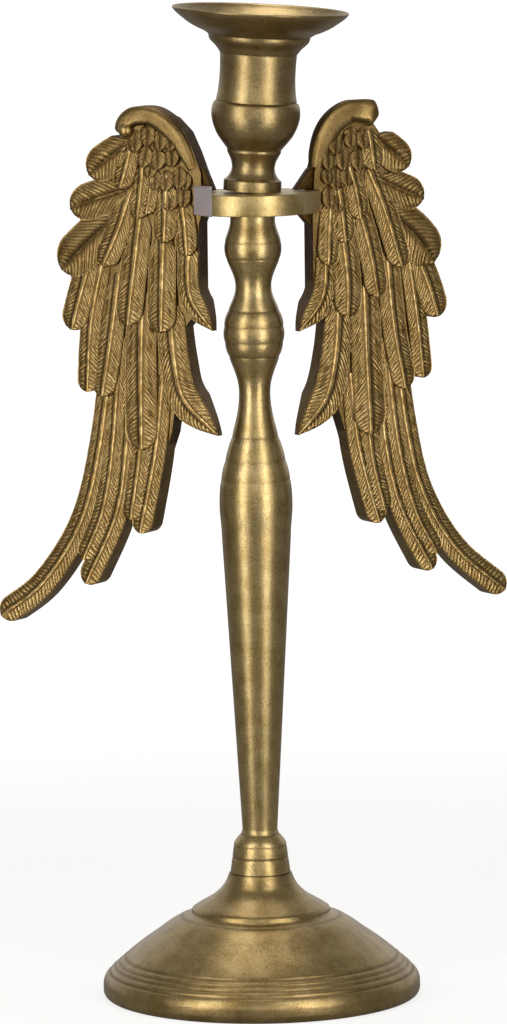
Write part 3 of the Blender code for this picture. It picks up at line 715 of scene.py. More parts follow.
def prism(corners: Sequence[tuple[float, float]], bottom: float, top: float) -> bmesh.types.BMesh:
    """Raise a flat outline to a solid.

    Args:
        corners: x and y of each corner.
        bottom: lower height.
        top: upper height.

    Returns:
        The solid.
    """
    bm = bmesh.new()
    face = bm.faces.new([bm.verts.new((x, y, bottom)) for x, y in corners])
    raised = bmesh.ops.extrude_face_region(bm, geom=[face])["geom"]
    tops = [item for item in raised if isinstance(item, bmesh.types.BMVert)]
    bmesh.ops.translate(bm, verts=tops, vec=(0, 0, top - bottom))
    return bm


def upright_cylinder(
    radius_mm: float, low_mm: float, high_mm: float, segments: int = 48
) -> bmesh.types.BMesh:
    """Make a closed cylinder or prism on the Z axis.

    Args:
        radius_mm: distance of its corners from the axis.
        low_mm: height of its lower end.
        high_mm: height of its upper end.
        segments: how many faces go round.

    Returns:
        The solid.
    """
    bm = bmesh.new()
    bmesh.ops.create_cone(
        bm,
        cap_ends=True,
        segments=segments,
        radius1=radius_mm * MM,
        radius2=radius_mm * MM,
        depth=(high_mm - low_mm) * MM,
    )
    bmesh.ops.translate(bm, verts=bm.verts, vec=(0, 0, (low_mm + high_mm) / 2 * MM))
    return bm


def soften(bm: bmesh.types.BMesh, radius_mm: float, segments: int = 3, least: float = 30.0) -> None:
    """Round the edges where two faces meet at an angle.

    Args:
        bm: the mesh.
        radius_mm: the width of the rounding.
        segments: how many faces make it.
        least: the smallest angle, in degrees, that is rounded.
    """
    bmesh.ops.recalc_face_normals(bm, faces=bm.faces)
    edges = [
        edge
        for edge in bm.edges
        if len(edge.link_faces) == 2 and edge.calc_face_angle() > math.radians(least)
    ]
    bmesh.ops.bevel(
        bm,
        geom=edges,
        offset=radius_mm * MM,
        segments=segments,
        profile=0.5,
        affect="EDGES",
        material=-1,
    )


def loose_object(name: str, bm: bmesh.types.BMesh) -> bpy.types.Object:
    """Turn a bmesh into an object with its faces pointing out.

    Args:
        name: the object's name.
        bm: the mesh, which is freed.

    Returns:
        The object, linked to the scene.
    """
    bmesh.ops.recalc_face_normals(bm, faces=bm.faces)
    mesh = bpy.data.meshes.new(name)
    bm.to_mesh(mesh)
    bm.free()
    obj = bpy.data.objects.new(name, mesh)
    bpy.context.scene.collection.objects.link(obj)
    return obj


def apply_boolean(target: bpy.types.Object, operation: str, tool: bpy.types.Object) -> None:
    """Join a tool shape to an object or cut it away, and remove the tool.

    Args:
        target: the object that is changed.
        operation: UNION or DIFFERENCE.
        tool: the other shape.
    """
    modifier = target.modifiers.new(tool.name, "BOOLEAN")
    modifier.operation = operation
    modifier.solver = "EXACT"
    modifier.object = tool
    graph = bpy.context.evaluated_depsgraph_get()
    result = bpy.data.meshes.new_from_object(target.evaluated_get(graph))
    target.modifiers.clear()
    old = target.data
    target.data = result
    bpy.data.meshes.remove(old)
    bpy.data.objects.remove(tool)


def dress(
    obj: bpy.types.Object,
    material: bpy.types.Material,
    node: str,
    crease: float = 40.0,
) -> None:
    """Give a finished piece its metal and seat it on the frame.

    Args:
        obj: the piece, in its place.
        material: its finish.
        node: the CAD node that it replaces.
        crease: the angle in degrees over which an edge stays sharp.
    """
    obj.data.materials.clear()
    obj.data.materials.append(material)
    if TONE_AND_LIGHT not in obj.data.attributes:
        even = obj.data.attributes.new(TONE_AND_LIGHT, "FLOAT", "POINT")
        even.data.foreach_set("value", [EVEN_TONE] * len(obj.data.vertices))
    obj.data.shade_smooth()
    obj.data.set_sharp_from_angle(angle=math.radians(crease))
    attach(obj, ROOT_BODY)
    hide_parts(node)
    obj.data.calc_loop_triangles()
    log.info("%s stands for %s: %d triangles", obj.name, node, len(obj.data.loop_triangles))


# Turned pieces


@dataclass(frozen=True)
class DomedFoot:
    """Hollow cast foot, turned outside: a concave neck, a step ring, a dome and a rolled rim."""

    steps: int = 144
    bore_mm: float = ROD_BORE_MM
    neck: tuple[tuple[float, float], ...] = (
        (12.0, 47.3), (12.5, 45.7), (13.25, 44.1), (14.2, 42.5), (15.5, 41.0), (17.2, 39.4),
        (19.2, 37.9), (22.0, 36.3), (24.4, 34.9), (26.3, 33.6),
    )
    dome: tuple[tuple[float, float], ...] = (
        (27.2, 31.7), (29.4, 31.1), (32.0, 30.0), (34.6, 28.5), (37.0, 26.9), (39.0, 25.4),
        (41.3, 23.7), (45.6, 20.7), (49.6, 17.6), (53.7, 14.2), (57.2, 11.1), (58.9, 9.4),
        (60.1, 7.8), (60.75, 6.1), (60.9, 4.6),
    )
    marks: tuple[Mark, ...] = (
        Mark(15.1, 0.4, 0.45, 0.7), Mark(13.2, 0.34, 0.4, 0.7), Mark(11.7, 0.36, 0.4, 0.7),
        Mark(9.6, 0.4, 0.45, 0.7), Mark(30.7, 0.12, 0.3),
    )

    def build(self) -> bpy.types.Object:
        """Make the foot.

        Returns:
            The foot's object.
        """
        outer = fair(in_mm(*self.neck))
        outer += in_mm((26.4, 33.3), (26.45, 32.6), (26.6, 32.1), (26.8, 31.9))
        outer += fair(in_mm(*self.dome))
        outer += fair(in_mm((60.9, 4.4), (60.9, 2.4), (60.4, 1.0), (59.6, 0.25), (59.0, 0.0)))[1:]
        inner = in_mm((54.8, 0.0), (54.5, 0.3), (54.5, 4.3))
        inner += fair(
            in_mm(
                (54.2, 5.0), (49.0, 9.8), (41.5, 16.2), (33.6, 22.9), (24.6, 28.4), (18.6, 31.7),
                (14.5, 34.6), (11.1, 37.8), (9.2, 41.0),
            ),
            1.0,
        )
        bore = self.bore_mm
        wide = bore + 0.5
        inner += in_mm((wide, 41.0), (bore, 41.5), (bore, 46.8), (wide, 47.3), (12.0, 47.3))
        outline = thinned(scribe(outer, self.marks))
        outline += [(radius, height, INSIDE_TONE) for radius, height in inner]
        bm = bmesh.new()
        spin_outline(bm, outline, self.steps)
        return loose_object("domed_foot", bm)


@dataclass(frozen=True)
class Stage:
    """One swell or hollow of the baluster, from the stage below it up to its own radius."""

    height_mm: float
    radius_mm: float
    late: float = 1.0
    straight: bool = False


@dataclass(frozen=True)
class BalusterStem:
    """Turned stem: bell, ankle, long shaft, vase, waist, ball, neck and bead."""

    steps: int = 128
    bottom_mm: float = 47.6
    foot_mm: float = 11.5
    bore_mm: float = ROD_BORE_MM
    point_mm: float = 0.22
    stages: tuple[Stage, ...] = (
        Stage(10.5, 10.1, straight=True), Stage(6.3, 6.7), Stage(113.0, 13.2, straight=True),
        Stage(12.0, 13.95), Stage(43.1, 5.95, 1.12), Stage(22.5, 11.6), Stage(18.0, 6.8, 1.25),
        Stage(14.5, 10.85), Stage(11.0, 8.5, 1.1), Stage(2.0, 8.5),
    )
    # The metal sinks a little on both sides of most grooves, which the broad marks do.
    marks: tuple[Mark, ...] = (
        Mark(53.4, 0.2), Mark(57.8, 0.09), Mark(62.4, 0.14), Mark(199.2, 0.06, 0.4),
        Mark(206.6, 0.07, 0.4), Mark(215.7, 0.1), Mark(246.2, 0.12), Mark(251.6, 0.08),
        Mark(257.8, 0.12), Mark(263.9, 0.1), Mark(283.6, 0.12), Mark(289.9, 0.12),
        Mark(199.2, 0.1, 1.6, 0.2), Mark(206.6, 0.2, 1.8, 0.2), Mark(215.7, 0.18, 1.8, 0.2),
        Mark(246.2, 0.16, 1.4, 0.2), Mark(251.6, 0.2, 1.5, 0.2), Mark(257.8, 0.2, 1.5, 0.2),
        Mark(263.9, 0.16, 1.4, 0.2),
    )

    def build(self) -> bpy.types.Object:
        """Make the stem.

        Returns:
            The stem's object.
        """
        outline = in_mm((self.foot_mm, self.bottom_mm))
        for stage in self.stages:
            start = outline[-1]
            end = (stage.radius_mm * MM, start[1] + stage.height_mm * MM)
            count = round(stage.height_mm / self.point_mm)
            if stage.straight:
                shares = [(step + 1) / count for step in range(count)]
                outline += [
                    (start[0] + (end[0] - start[0]) * s, start[1] + (end[1] - start[1]) * s)
                    for s in shares
                ]
            else:
                outline += ogee(start, end, count, stage.late)
        top = outline[-1][1]
        cut = thinned(scribe(outline, self.marks))
        bore = self.bore_mm * MM
        bottom = self.bottom_mm * MM
        cut += [(bore, top, BORE_TONE), (bore, bottom, BORE_TONE)]
        cut.append((outline[0][0], bottom, INSIDE_TONE))
        bm = bmesh.new()
        spin_outline(bm, cut, self.steps)
        return loose_object("baluster_stem", bm)


@dataclass(frozen=True)
class CandleCup:
    """Candle cup and flared drip pan in one turned casting, which leans on the bracket."""

    steps: int = 144
    bottom_mm: float = 309.1
    lean_right: float = 3.3
    lean_forward: float = 1.2
    floor_mm: float = 29.0
    candle_mm: float = 11.2
    rod_bore_mm: float = ROD_BORE_MM
    rod_depth_mm: float = 11.3
    cutter_below_mm: float = 4.0
    bore_tone: float = 0.2
    pan_tone: float = 0.42
    marks: tuple[Mark, ...] = (
        Mark(15.75, 0.12, 0.3), Mark(34.0, 0.08, 0.3), Mark(52.2, 0.12, 0.3),
        Mark(58.9, 0.1, 0.3),
    )

    def outer(self) -> Outline:
        """Draw the outside, from the bracket up to the brim, in the cup's own axes.

        Returns:
            Radius and height of its points.
        """
        outline = in_mm((11.0, GAP_MM), (11.0, 3.7))
        outline += fair(
            in_mm(
                (11.0, 3.8), (10.8, 4.3), (10.2, 4.7), (9.4, 5.6), (8.6, 7.0), (8.15, 8.7),
                (8.25, 10.2), (8.7, 11.8), (9.4, 13.3), (10.0, 14.4), (10.25, 15.0), (10.25, 15.5),
            )
        )
        outline += fair(
            in_mm(
                (10.4, 16.0), (11.7, 17.7), (13.05, 19.4), (14.2, 21.0), (15.0, 22.5),
                (15.75, 24.2), (16.4, 26.2), (16.85, 28.6), (16.8, 31.0), (16.45, 32.8),
                (16.0, 33.6), (15.6, 33.9),
            )
        )
        outline += fair(
            in_mm(
                (15.35, 34.1), (15.3, 34.7), (15.15, 35.6), (14.85, 37.2), (14.6, 39.5),
                (14.4, 42.5), (14.35, 46.0), (14.45, 49.5), (14.6, 52.0),
            )
        )
        outline += fair(
            in_mm(
                (14.75, 52.3), (15.3, 53.2), (16.4, 54.6), (17.8, 55.9), (18.8, 57.0),
                (19.3, 58.3),
            )
        )
        outline += fair(
            in_mm(
                (19.4, 58.9), (20.1, 59.5), (21.4, 60.3), (23.4, 61.1), (25.9, 62.3), (27.9, 63.5),
                (29.6, 64.75), (31.4, 66.1), (32.7, 67.3), (33.5, 68.4), (33.4, 68.85),
                (33.1, 69.0), (32.7, 68.9),
            )
        )
        return outline

    def inner(self) -> Outline:
        """Draw the inside of the pan and the socket, from the brim to the socket's floor.

        Returns:
            Radius and height of its points.
        """
        outline = fair(
            in_mm(
                (32.2, 68.6), (30.8, 67.3), (28.4, 65.6), (25.0, 63.9), (21.5, 62.8), (17.5, 62.3),
                (13.5, 62.1), (12.3, 61.95), (11.6, 61.5), (11.2, 60.6),
            )
        )
        outline += in_mm((self.candle_mm, 45.0), (self.candle_mm, 29.5))
        outline += in_mm((10.8, self.floor_mm), (0.0, self.floor_mm))
        return outline

    def build(self) -> bpy.types.Object:
        """Make the cup.

        Returns:
            The cup's object.
        """
        outline = [(0.0, GAP_MM * MM, INSIDE_TONE)]
        outline += thinned(scribe(self.outer(), self.marks))
        outline += [(radius, height, self.pan_tone) for radius, height in self.inner()]
        bm = bmesh.new()
        spin_outline(bm, outline, self.steps)
        lean = Matrix.Rotation(math.radians(self.lean_right), 4, "Y")
        lean @= Matrix.Rotation(math.radians(self.lean_forward), 4, "X")
        bmesh.ops.transform(
            bm, matrix=Matrix.Translation((0, 0, self.bottom_mm * MM)) @ lean, verts=bm.verts
        )
        cup = loose_object("candle_cup_and_pan", bm)
        apply_boolean(cup, "DIFFERENCE", self.rod_bore())
        return cup

    def rod_bore(self) -> bpy.types.Object:
        """Make the upright hole for the tie rod, which meets the bracket square.

        Returns:
            The cutter.
        """
        low = self.bottom_mm - self.cutter_below_mm
        bm = upright_cylinder(self.rod_bore_mm, low, self.bottom_mm + self.rod_depth_mm)
        tone_all(bm, self.bore_tone)
        return loose_object("rod_bore", bm)


# Wings


# A round and a pointed tip are this many half widths long.
ROUND_TIP = 1.1
POINTED_TIP = 2.6


class Column(IntEnum):
    """Columns of a feather's skin, counted from its quill round to the middle of its back."""

    RIB_END = 2
    VALLEY = 3
    FIRST_BARB = 4
    GROOVE = 7
    RIM = 8
    EDGE = 9
    WALL = 10
    BACK = 11


@dataclass(frozen=True)
class Vane:
    """What one cut of feather gets of the usual carving, as factors, and its tones."""

    pitch: float = 1.0
    rib_width: float = 1.0
    rib_height: float = 1.0
    crown: float = 1.0
    barbs: float = 1.0
    rim_lift_mm: float = 0.22
    rib_tone: float = 0.74
    groove_tone: float = 0.16
    shine: float = 0.7


VANES = {
    FeatherCut.ROUND: Vane(),
    FeatherCut.POINTED: Vane(pitch=1.15),
    FeatherCut.LOBE: Vane(
        pitch=1.15, rib_width=0.4, rib_height=0.2, barbs=0.8, rib_tone=0.3, groove_tone=0.1,
        shine=0.55,
    ),
    FeatherCut.SCALE: Vane(
        rib_width=0.4, rib_height=0.0, crown=0.55, barbs=0.35, rim_lift_mm=0.35, rib_tone=0.2,
        shine=0.2,
    ),
}


@dataclass(frozen=True)
class Feather:
    """One carved feather.

    Its quill runs from root to tip in pattern millimetres (out, up), and so is its half width.
    Edge is true for a feather at the wing's outline, whose back reaches down to the plate's.
    """

    quill: tuple[tuple[float, float], ...]
    half_width: float
    cut: FeatherCut = FeatherCut.ROUND
    edge: bool = False

    def length(self) -> float:
        """Length of the quill in millimetres."""
        return sum(math.dist(a, b) for a, b in zip(self.quill, self.quill[1:]))

    def spot_at(self, share: float) -> Vector:
        """Find the point of the quill at a share of its length.

        Args:
            share: 0 at the root and 1 at the tip.

        Returns:
            The point, in pattern millimetres.
        """
        left = min(1.0, max(0.0, share)) * self.length()
        last = len(self.quill) - 1
        for index, (start, end) in enumerate(zip(self.quill, self.quill[1:])):
            span = math.dist(start, end)
            if left <= span or index == last - 1:
                return on_curve(self.quill, (index + min(1.0, left / span)) / last)
            left -= span
        return on_curve(self.quill, 1.0)

    def half_width_at(self, share: float) -> float:
        """Find half the width at a share of the quill's length.

        Args:
            share: 0 at the root and 1 at the tip.

        Returns:
            Half the width, in millimetres.
        """
        pointed = self.cut is FeatherCut.POINTED
        tip = min(0.6, (POINTED_TIP if pointed else ROUND_TIP) * self.half_width / self.length())
        if share <= 1 - tip:
            return self.half_width * (0.9 + 0.1 * math.sin(math.pi / 2 * share / (1 - tip)))
        past = min(1.0, (share - 1 + tip) / tip)
        if pointed:
            return self.half_width * (1 - past**1.5)
        return self.half_width * math.sqrt(max(0.0, 1 - past**2))


@dataclass(frozen=True)
class WingCarving:
    """How both wings are carved. Lifts are above the pattern's plane, and backs are below it."""

    root_lift_mm: float = -0.9
    tip_lift_mm: float = 1.0
    crown_mm: float = 0.6
    sink_mm: float = -3.2
    edge_back_mm: float = -7.6
    pointed_tip_back_mm: float = -2.4
    rib_mm: float = 1.15
    rib_height_mm: float = 0.3
    barb_pitch_mm: float = 1.7
    rows_per_barb: int = 4
    barb_depth_mm: float = 0.6
    barb_slant: float = 1.25
    # For each column, its share of the way from the rib to the edge, and near the quill its
    # distance in rib widths, the height of the rib's edges and the depth of the barbs.
    spread: tuple[float, ...] = (0.0, 0.0, 0.0, 0.0, 0.28, 0.55, 0.8, 0.9, 1.0, 1.02, 1.02, 0.0)
    rib_spread: tuple[float, ...] = (0.0, 0.75, 1.05, 1.4)
    rib_bulge: tuple[float, ...] = (0.1, 1.0, 0.3)
    barb_share: tuple[float, ...] = (0.75, 1.0, 0.8, 0.3, 0.15)
    rib_taper: float = 0.55
    # The carving fades in the last part of a tip, where all the columns meet.
    closing_share: float = 0.04
    least_half_mm: float = 1e-6
    wander_mm: float = 0.12
    wall_round_mm: float = 0.4
    edge_drop_mm: float = 0.7
    valley_mm: float = 0.2
    valley_tone: float = 0.12
    # The walls of the feathers are painted dark as shade, and paler towards the wing's lower end.
    shaded_wall_tone: float = 0.26
    wall_fade_mm: float = 130.0
    plate_front_mm: float = -1.2
    plate_back_mm: float = -8.0
    plate_tone: float = 0.3
    plate_ring_mm: float = 0.3
    # Heights at which the flat plate is divided, so that it can bend: first, limit and step.
    plate_levels_mm: tuple[int, int, int] = (-130, 30, 6)
    roll_rows: int = 110
    roll_taper_from: float = 0.6
    curl_depth_mm: float = 7.0
    lug_front_mm: float = -2.5
    lug_back_mm: float = -6.5
    lug_root_mm: float = 2.0
    lug_end_mm: float = 0.2
    lug_round_mm: float = 0.5


@dataclass(frozen=True)
class AngelWing:
    """Cast wing: a plate with overlapping feathers, a rolled leading edge and lugs.

    Its pattern lies flat: out from the wing's root, up from the bracket's middle, and lift
    towards the viewer. The plate, the roll's middle line and the ends and half widths of the
    slits beside it are given in pattern millimetres. The curl is the ball in the roll's hooked
    end, as its place and radius, where there is one.
    """

    name: str
    node: str
    sign: int
    inner_mm: float
    feathers: tuple[Feather, ...]
    plate: tuple[tuple[float, float], ...]
    roll: tuple[tuple[float, float], ...]
    curl: tuple[float, float, float] | None
    slits: tuple[tuple[tuple[float, float], tuple[float, float], float], ...]
    roll_back_mm: float
    lug_above_mm: tuple[float, float]
    lug_below_mm: tuple[float, float]
    carving: WingCarving = WingCarving()
    front_mm: float = 2.5
    middle_mm: float = 304.8
    seat_mm: float = 4.3
    sweep: float = math.radians(28.0)
    bend_radius: float = 0.595
    roll_half_mm: float = 3.7
    roll_lift_mm: float = 1.3
    roll_end_mm: float = 2.9
    bulb_mm: float = 0.0

    def place(self, out: float, up: float, lift: float) -> Vector:
        """Find a point of the flat pattern on the swept wing, whose end curls forward.

        Args:
            out: distance from the wing's root, in metres.
            up: height above the bracket's middle.
            lift: height above the pattern's plane.

        Returns:
            The point in the object's frame.
        """
        forward = min(up, 0.0) ** 2 / (2 * self.bend_radius)
        x = self.inner_mm * MM + out * math.cos(self.sweep) + lift * math.sin(self.sweep)
        y = self.front_mm * MM + out * math.sin(self.sweep) - lift * math.cos(self.sweep) - forward
        return Vector((self.sign * x, y, self.middle_mm * MM + up))

    def add_tube(
        self,
        bm: bmesh.types.BMesh,
        rows: int,
        half: int,
        shape: Callable[[float, int], tuple[float, float, float, float]],
    ) -> None:
        """Bend a grid into a closed leaf: a carved front, two walls and a plain back.

        Args:
            bm: the mesh to add to.
            rows: how many faces lie along it.
            half: how many faces lie across it, from its middle round to its back's middle.
            shape: gives out, up and lift in millimetres and the relief, for a share of the
                length and a signed column.
        """
        layer = tone_and_light_layer(bm)
        verts = bmesh.ops.create_grid(bm, x_segments=2 * half, y_segments=rows, size=0.5)["verts"]
        for vert in verts:
            column = round((vert.co.x + 0.5) * 2 * half) - half
            out, up, lift, tone = shape(vert.co.y + 0.5, column)
            vert.co = self.place(out * MM, up * MM, lift * MM)
            vert[layer] = tone
        bmesh.ops.remove_doubles(bm, verts=verts, dist=MERGE_M)
        kept = [vert for vert in verts if vert.is_valid]
        rim = {edge for vert in kept for edge in vert.link_edges if edge.is_boundary}
        bmesh.ops.holes_fill(bm, edges=list(rim), sides=0)

    def add_feather(self, bm: bmesh.types.BMesh, feather: Feather, seed: int) -> None:
        """Carve one feather.

        Args:
            bm: the wing's mesh.
            feather: its size and place.
            seed: a number that makes its small irregularities its own.
        """
        cut = self.carving
        vane = VANES[feather.cut]
        scale = feather.cut is FeatherCut.SCALE
        length = feather.length()
        rows = max(10, round(length / (cut.barb_pitch_mm * vane.pitch) * cut.rows_per_barb))
        rib = min(cut.rib_mm, 0.2 * feather.half_width) * vane.rib_width
        slant = min(0.3, cut.barb_slant * feather.half_width / length)

        def shape(share: float, column: int) -> tuple[float, float, float, float]:
            """Place one point of the feather's skin.

            Args:
                share: how far along the feather it is.
                column: its column, negative on the left of the quill.

            Returns:
                Out, up and lift in pattern millimetres, and the relief.
            """
            place = abs(column)
            side = math.copysign(1.0, column)
            row = round(share * rows)
            # The barbs slant towards the tip, so a row lies further along at the edge.
            at = share + slant * cut.spread[place] * (1 - share**3)
            half = feather.half_width_at(at)
            rib_here = rib * (1.0 - cut.rib_taper * share)
            valley = min(cut.rib_spread[Column.VALLEY] * rib_here, 0.9 * half)
            if place <= Column.VALLEY:
                away = min(cut.rib_spread[place] * rib_here, 0.9 * half)
            elif place <= Column.WALL:
                away = valley + (half - valley) * cut.spread[place]
            else:
                away = 0.0
            spot = feather.spot_at(at) + across_at(feather.spot_at, at) * away * side
            back = self.back_of(feather, spot)
            if place == Column.BACK:
                return (spot.x, spot.y, back, BACK_TONE)
            # Painted shade on the walls, and on the edges of all feathers but coverts, darkest high
            # on the wing.
            wall = cut.shaded_wall_tone * min(1.0, max(0.0, -spot.y / cut.wall_fade_mm))
            if place == Column.WALL:
                return (spot.x, spot.y, back + cut.wall_round_mm, wall)
            across = min(1.0, away / max(half, cut.least_half_mm))
            lift = cut.root_lift_mm + (cut.tip_lift_mm - cut.root_lift_mm) * at
            lift += cut.crown_mm * vane.crown * (1 - across**1.5)
            if place == Column.EDGE:
                lowest = back + 2 * cut.wall_round_mm
                # A covert's edge gets paler towards its tip: a painted highlight on its rounding.
                edge = 0.45 * share**3 if scale else wall
                return (spot.x, spot.y, max(lowest, lift - cut.edge_drop_mm), edge)
            closing = min(1.0, (1 - share) / cut.closing_share)
            lift += cut.wander_mm * uneven(spot.x * 0.35, spot.y * 0.35, seed * 3.1) * closing
            if place <= Column.RIB_END:
                # The rib is flat between two raised edges, which are rubbed bright and get a
                # painted highlight too.
                bulge = cut.rib_bulge[place]
                lift += cut.rib_height_mm * vane.rib_height * (1 - 0.6 * share) * bulge * closing
                worn = 0.35 * uneven(row * 0.21, side * 7.7, seed * 1.3)
                return (spot.x, spot.y, lift, vane.rib_tone - 0.5 * (1 - bulge) + worn)
            if place == Column.VALLEY:
                return (spot.x, spot.y, lift - cut.valley_mm * closing, cut.valley_tone)
            # No two barbs are cut alike: their spacing and their depth change a little.
            phase = row / cut.rows_per_barb
            phase += 0.5 * uneven(row * 0.11, side * 2.3, seed * 1.7)
            wave = 0.5 - 0.5 * math.cos(math.tau * phase)
            bold = 0.8 + 0.9 * uneven(row * 0.31, side * 5.1 + place, seed * 2.9)
            depth = cut.barb_depth_mm * bold * closing * vane.barbs
            depth *= cut.barb_share[place - Column.FIRST_BARB]
            lift += depth * (wave - 0.5)
            tone = vane.groove_tone + vane.shine * wave * min(1.0, bold)
            # The slits are painted dark as shade, as well as sunk.
            sunk_and_shaded = self.slit_at(spot)
            lift -= 0.7 * sunk_and_shaded
            tone *= 1 - sunk_and_shaded
            if place == Column.GROOVE:
                return (spot.x, spot.y, lift - 0.16 * closing, min(tone, 0.22))
            if place == Column.RIM:
                # The rim is paler towards the tip: a painted highlight on the raised edge.
                rim = 0.4 + 0.55 * share**3
                lift += vane.rim_lift_mm * share**3
                return (spot.x, spot.y, lift, max(rim * (1 - sunk_and_shaded), 0.8 * tone))
            return (spot.x, spot.y, lift, tone)

        self.add_tube(bm, rows, Column.BACK, shape)

    def slit_at(self, spot: Vector) -> float:
        """Find how deep a spot is sunk in the slits beside the roll, which are painted dark as
        shade.

        Args:
            spot: the spot, in pattern millimetres.

        Returns:
            0 outside the slits and 1 in the middle of one.
        """
        deepest = 0.0
        for first, second, half in self.slits:
            start = Vector(first)
            line = Vector(second) - start
            share = max(0.0, min(1.0, (spot - start).dot(line) / line.length_squared))
            far = (start + line * share - spot).length / half
            deepest = max(deepest, math.exp(-(far**2)))
        return deepest

    def back_of(self, feather: Feather, spot: Vector) -> float:
        """Find how deep a feather's back lies at a spot. It rises to a pointed tip.

        Args:
            feather: the feather.
            spot: the spot, in pattern millimetres.

        Returns:
            The lift of its back, in millimetres.
        """
        cut = self.carving
        if feather.cut is not FeatherCut.POINTED:
            return cut.edge_back_mm if feather.edge else cut.sink_mm
        away = (spot - Vector(feather.quill[-1])).length
        share = min(1.0, away / (POINTED_TIP * feather.half_width))
        return cut.pointed_tip_back_mm + (cut.edge_back_mm - cut.pointed_tip_back_mm) * share

    def add_plate(self, bm: bmesh.types.BMesh) -> None:
        """Add the plate behind the feathers, which shows as the wing's plain back.

        Args:
            bm: the wing's mesh.
        """
        cut = self.carving
        plate = bmesh.new()
        plate.faces.new([plate.verts.new((out * MM, up * MM, 0.0)) for out, up in self.plate])
        for level in range(*cut.plate_levels_mm):
            geom = plate.verts[:] + plate.edges[:] + plate.faces[:]
            bmesh.ops.bisect_plane(
                plate, geom=geom, plane_co=(0, level * MM, 0), plane_no=(0, 1, 0)
            )
        bmesh.ops.translate(plate, verts=plate.verts, vec=(0, 0, cut.plate_front_mm * MM))
        layer = tone_and_light_layer(plate)
        # The plate shows only in the gaps between the feathers, where its low tone is painted
        # shade.
        tone_all(plate, cut.plate_tone)
        faces = plate.faces[:]
        # The wall has a ring near the front and one near the back, between which it is painted dark
        # as shade.
        ring = cut.plate_ring_mm
        wall = cut.plate_front_mm - cut.plate_back_mm - ring
        for depth, tone in ((ring, 0.0), (wall, 0.0), (ring, cut.plate_tone)):
            raised = bmesh.ops.extrude_face_region(plate, geom=faces)["geom"]
            faces = [item for item in raised if isinstance(item, bmesh.types.BMFace)]
            backs = [item for item in raised if isinstance(item, bmesh.types.BMVert)]
            bmesh.ops.translate(plate, verts=backs, vec=(0, 0, -depth * MM))
            for vert in backs:
                vert[layer] = tone
        for vert in plate.verts:
            vert.co = self.place(*vert.co)
        self.merge(bm, plate)

    def merge(self, bm: bmesh.types.BMesh, other: bmesh.types.BMesh) -> None:
        """Add another mesh to the wing's.

        Args:
            bm: the wing's mesh.
            other: the mesh to add, which is freed.
        """
        mesh = bpy.data.meshes.new("part of " + self.name)
        other.to_mesh(mesh)
        other.free()
        bm.from_mesh(mesh)
        bpy.data.meshes.remove(mesh)

    def roll_spot(self, share: float) -> Vector:
        """The point of the rolled band's middle line at a share of it."""
        return on_curve(self.roll, share)

    def add_roll(self, bm: bmesh.types.BMesh) -> None:
        """Add the smooth rolled band along the wing's leading edge.

        Args:
            bm: the wing's mesh.
        """
        fractions = (0.0, 0.2, 0.4, 0.57, 0.72, 0.84, 0.93, 1.0, 1.0, 0.0)
        last = len(fractions) - 1
        length = sum(math.dist(a, b) for a, b in zip(self.roll, self.roll[1:]))
        taper_from = self.carving.roll_taper_from

        def shape(share: float, column: int) -> tuple[float, float, float, float]:
            """Place one point of the band's skin.

            Args:
                share: how far along the band it is.
                column: its column, negative on the left of the middle line.

            Returns:
                Out, up and lift in pattern millimetres, and the relief.
            """
            place = abs(column)
            side = math.copysign(1.0, column)
            past = max(0.0, share - taper_from) / (1 - taper_from)
            run = share * length
            tip = min(1.0, run / self.roll_end_mm)
            bulb = self.bulb_mm * math.exp(-(((run - self.roll_end_mm) / 4.5) ** 2))
            half = self.roll_half_mm * (1 - 0.45 * past**2) + bulb
            half *= math.sqrt(1 - (1 - tip) ** 2)
            across = fractions[place]
            spot = self.roll_spot(share) + across_at(self.roll_spot, share) * half * across * side
            if place == last:
                return (spot.x, spot.y, self.roll_back_mm, BACK_TONE)
            if place == last - 1:
                return (spot.x, spot.y, self.roll_back_mm + self.carving.wall_round_mm, 0.0)
            lift = (self.roll_lift_mm + bulb) * (1 - 1.2 * across**4) - 1.6 * past**2
            # A painted highlight runs along the band left of its middle, and its sides are darker.
            painted_highlight = math.exp(-(((across * side + 0.4) / 0.25) ** 2))
            # The slits are painted dark as shade, as well as sunk.
            sunk_and_shaded = self.slit_at(spot)
            tone = (0.34 + 0.16 * painted_highlight - 0.28 * across**6) * (1 - sunk_and_shaded)
            return (spot.x, spot.y, lift - 0.8 * sunk_and_shaded, tone)

        self.add_tube(bm, self.carving.roll_rows, last, shape)

    def add_curl(self, bm: bmesh.types.BMesh, out: float, up: float, radius: float) -> None:
        """Add the ball that the rolled band's hooked end holds.

        Args:
            bm: the wing's mesh.
            out: place of the ball's middle in the pattern, in millimetres.
            up: its height in the pattern.
            radius: its radius.
        """
        ball = bmesh.new()
        bmesh.ops.create_uvsphere(ball, u_segments=40, v_segments=24, radius=radius * MM)
        layer = tone_and_light_layer(ball)
        for vert in ball.verts:
            height = vert.co.z / (radius * MM)
            # Painted light and shade: the ball is paler on top and darker below.
            vert[layer] = 0.35 + 0.3 * height
            # The lower half is drawn out into a post that stands on the plate.
            lift = vert.co.z * (1.0 if height > 0 else self.carving.curl_depth_mm / radius)
            vert.co = self.place(vert.co.x + out * MM, vert.co.y + up * MM, lift)
        self.merge(bm, ball)

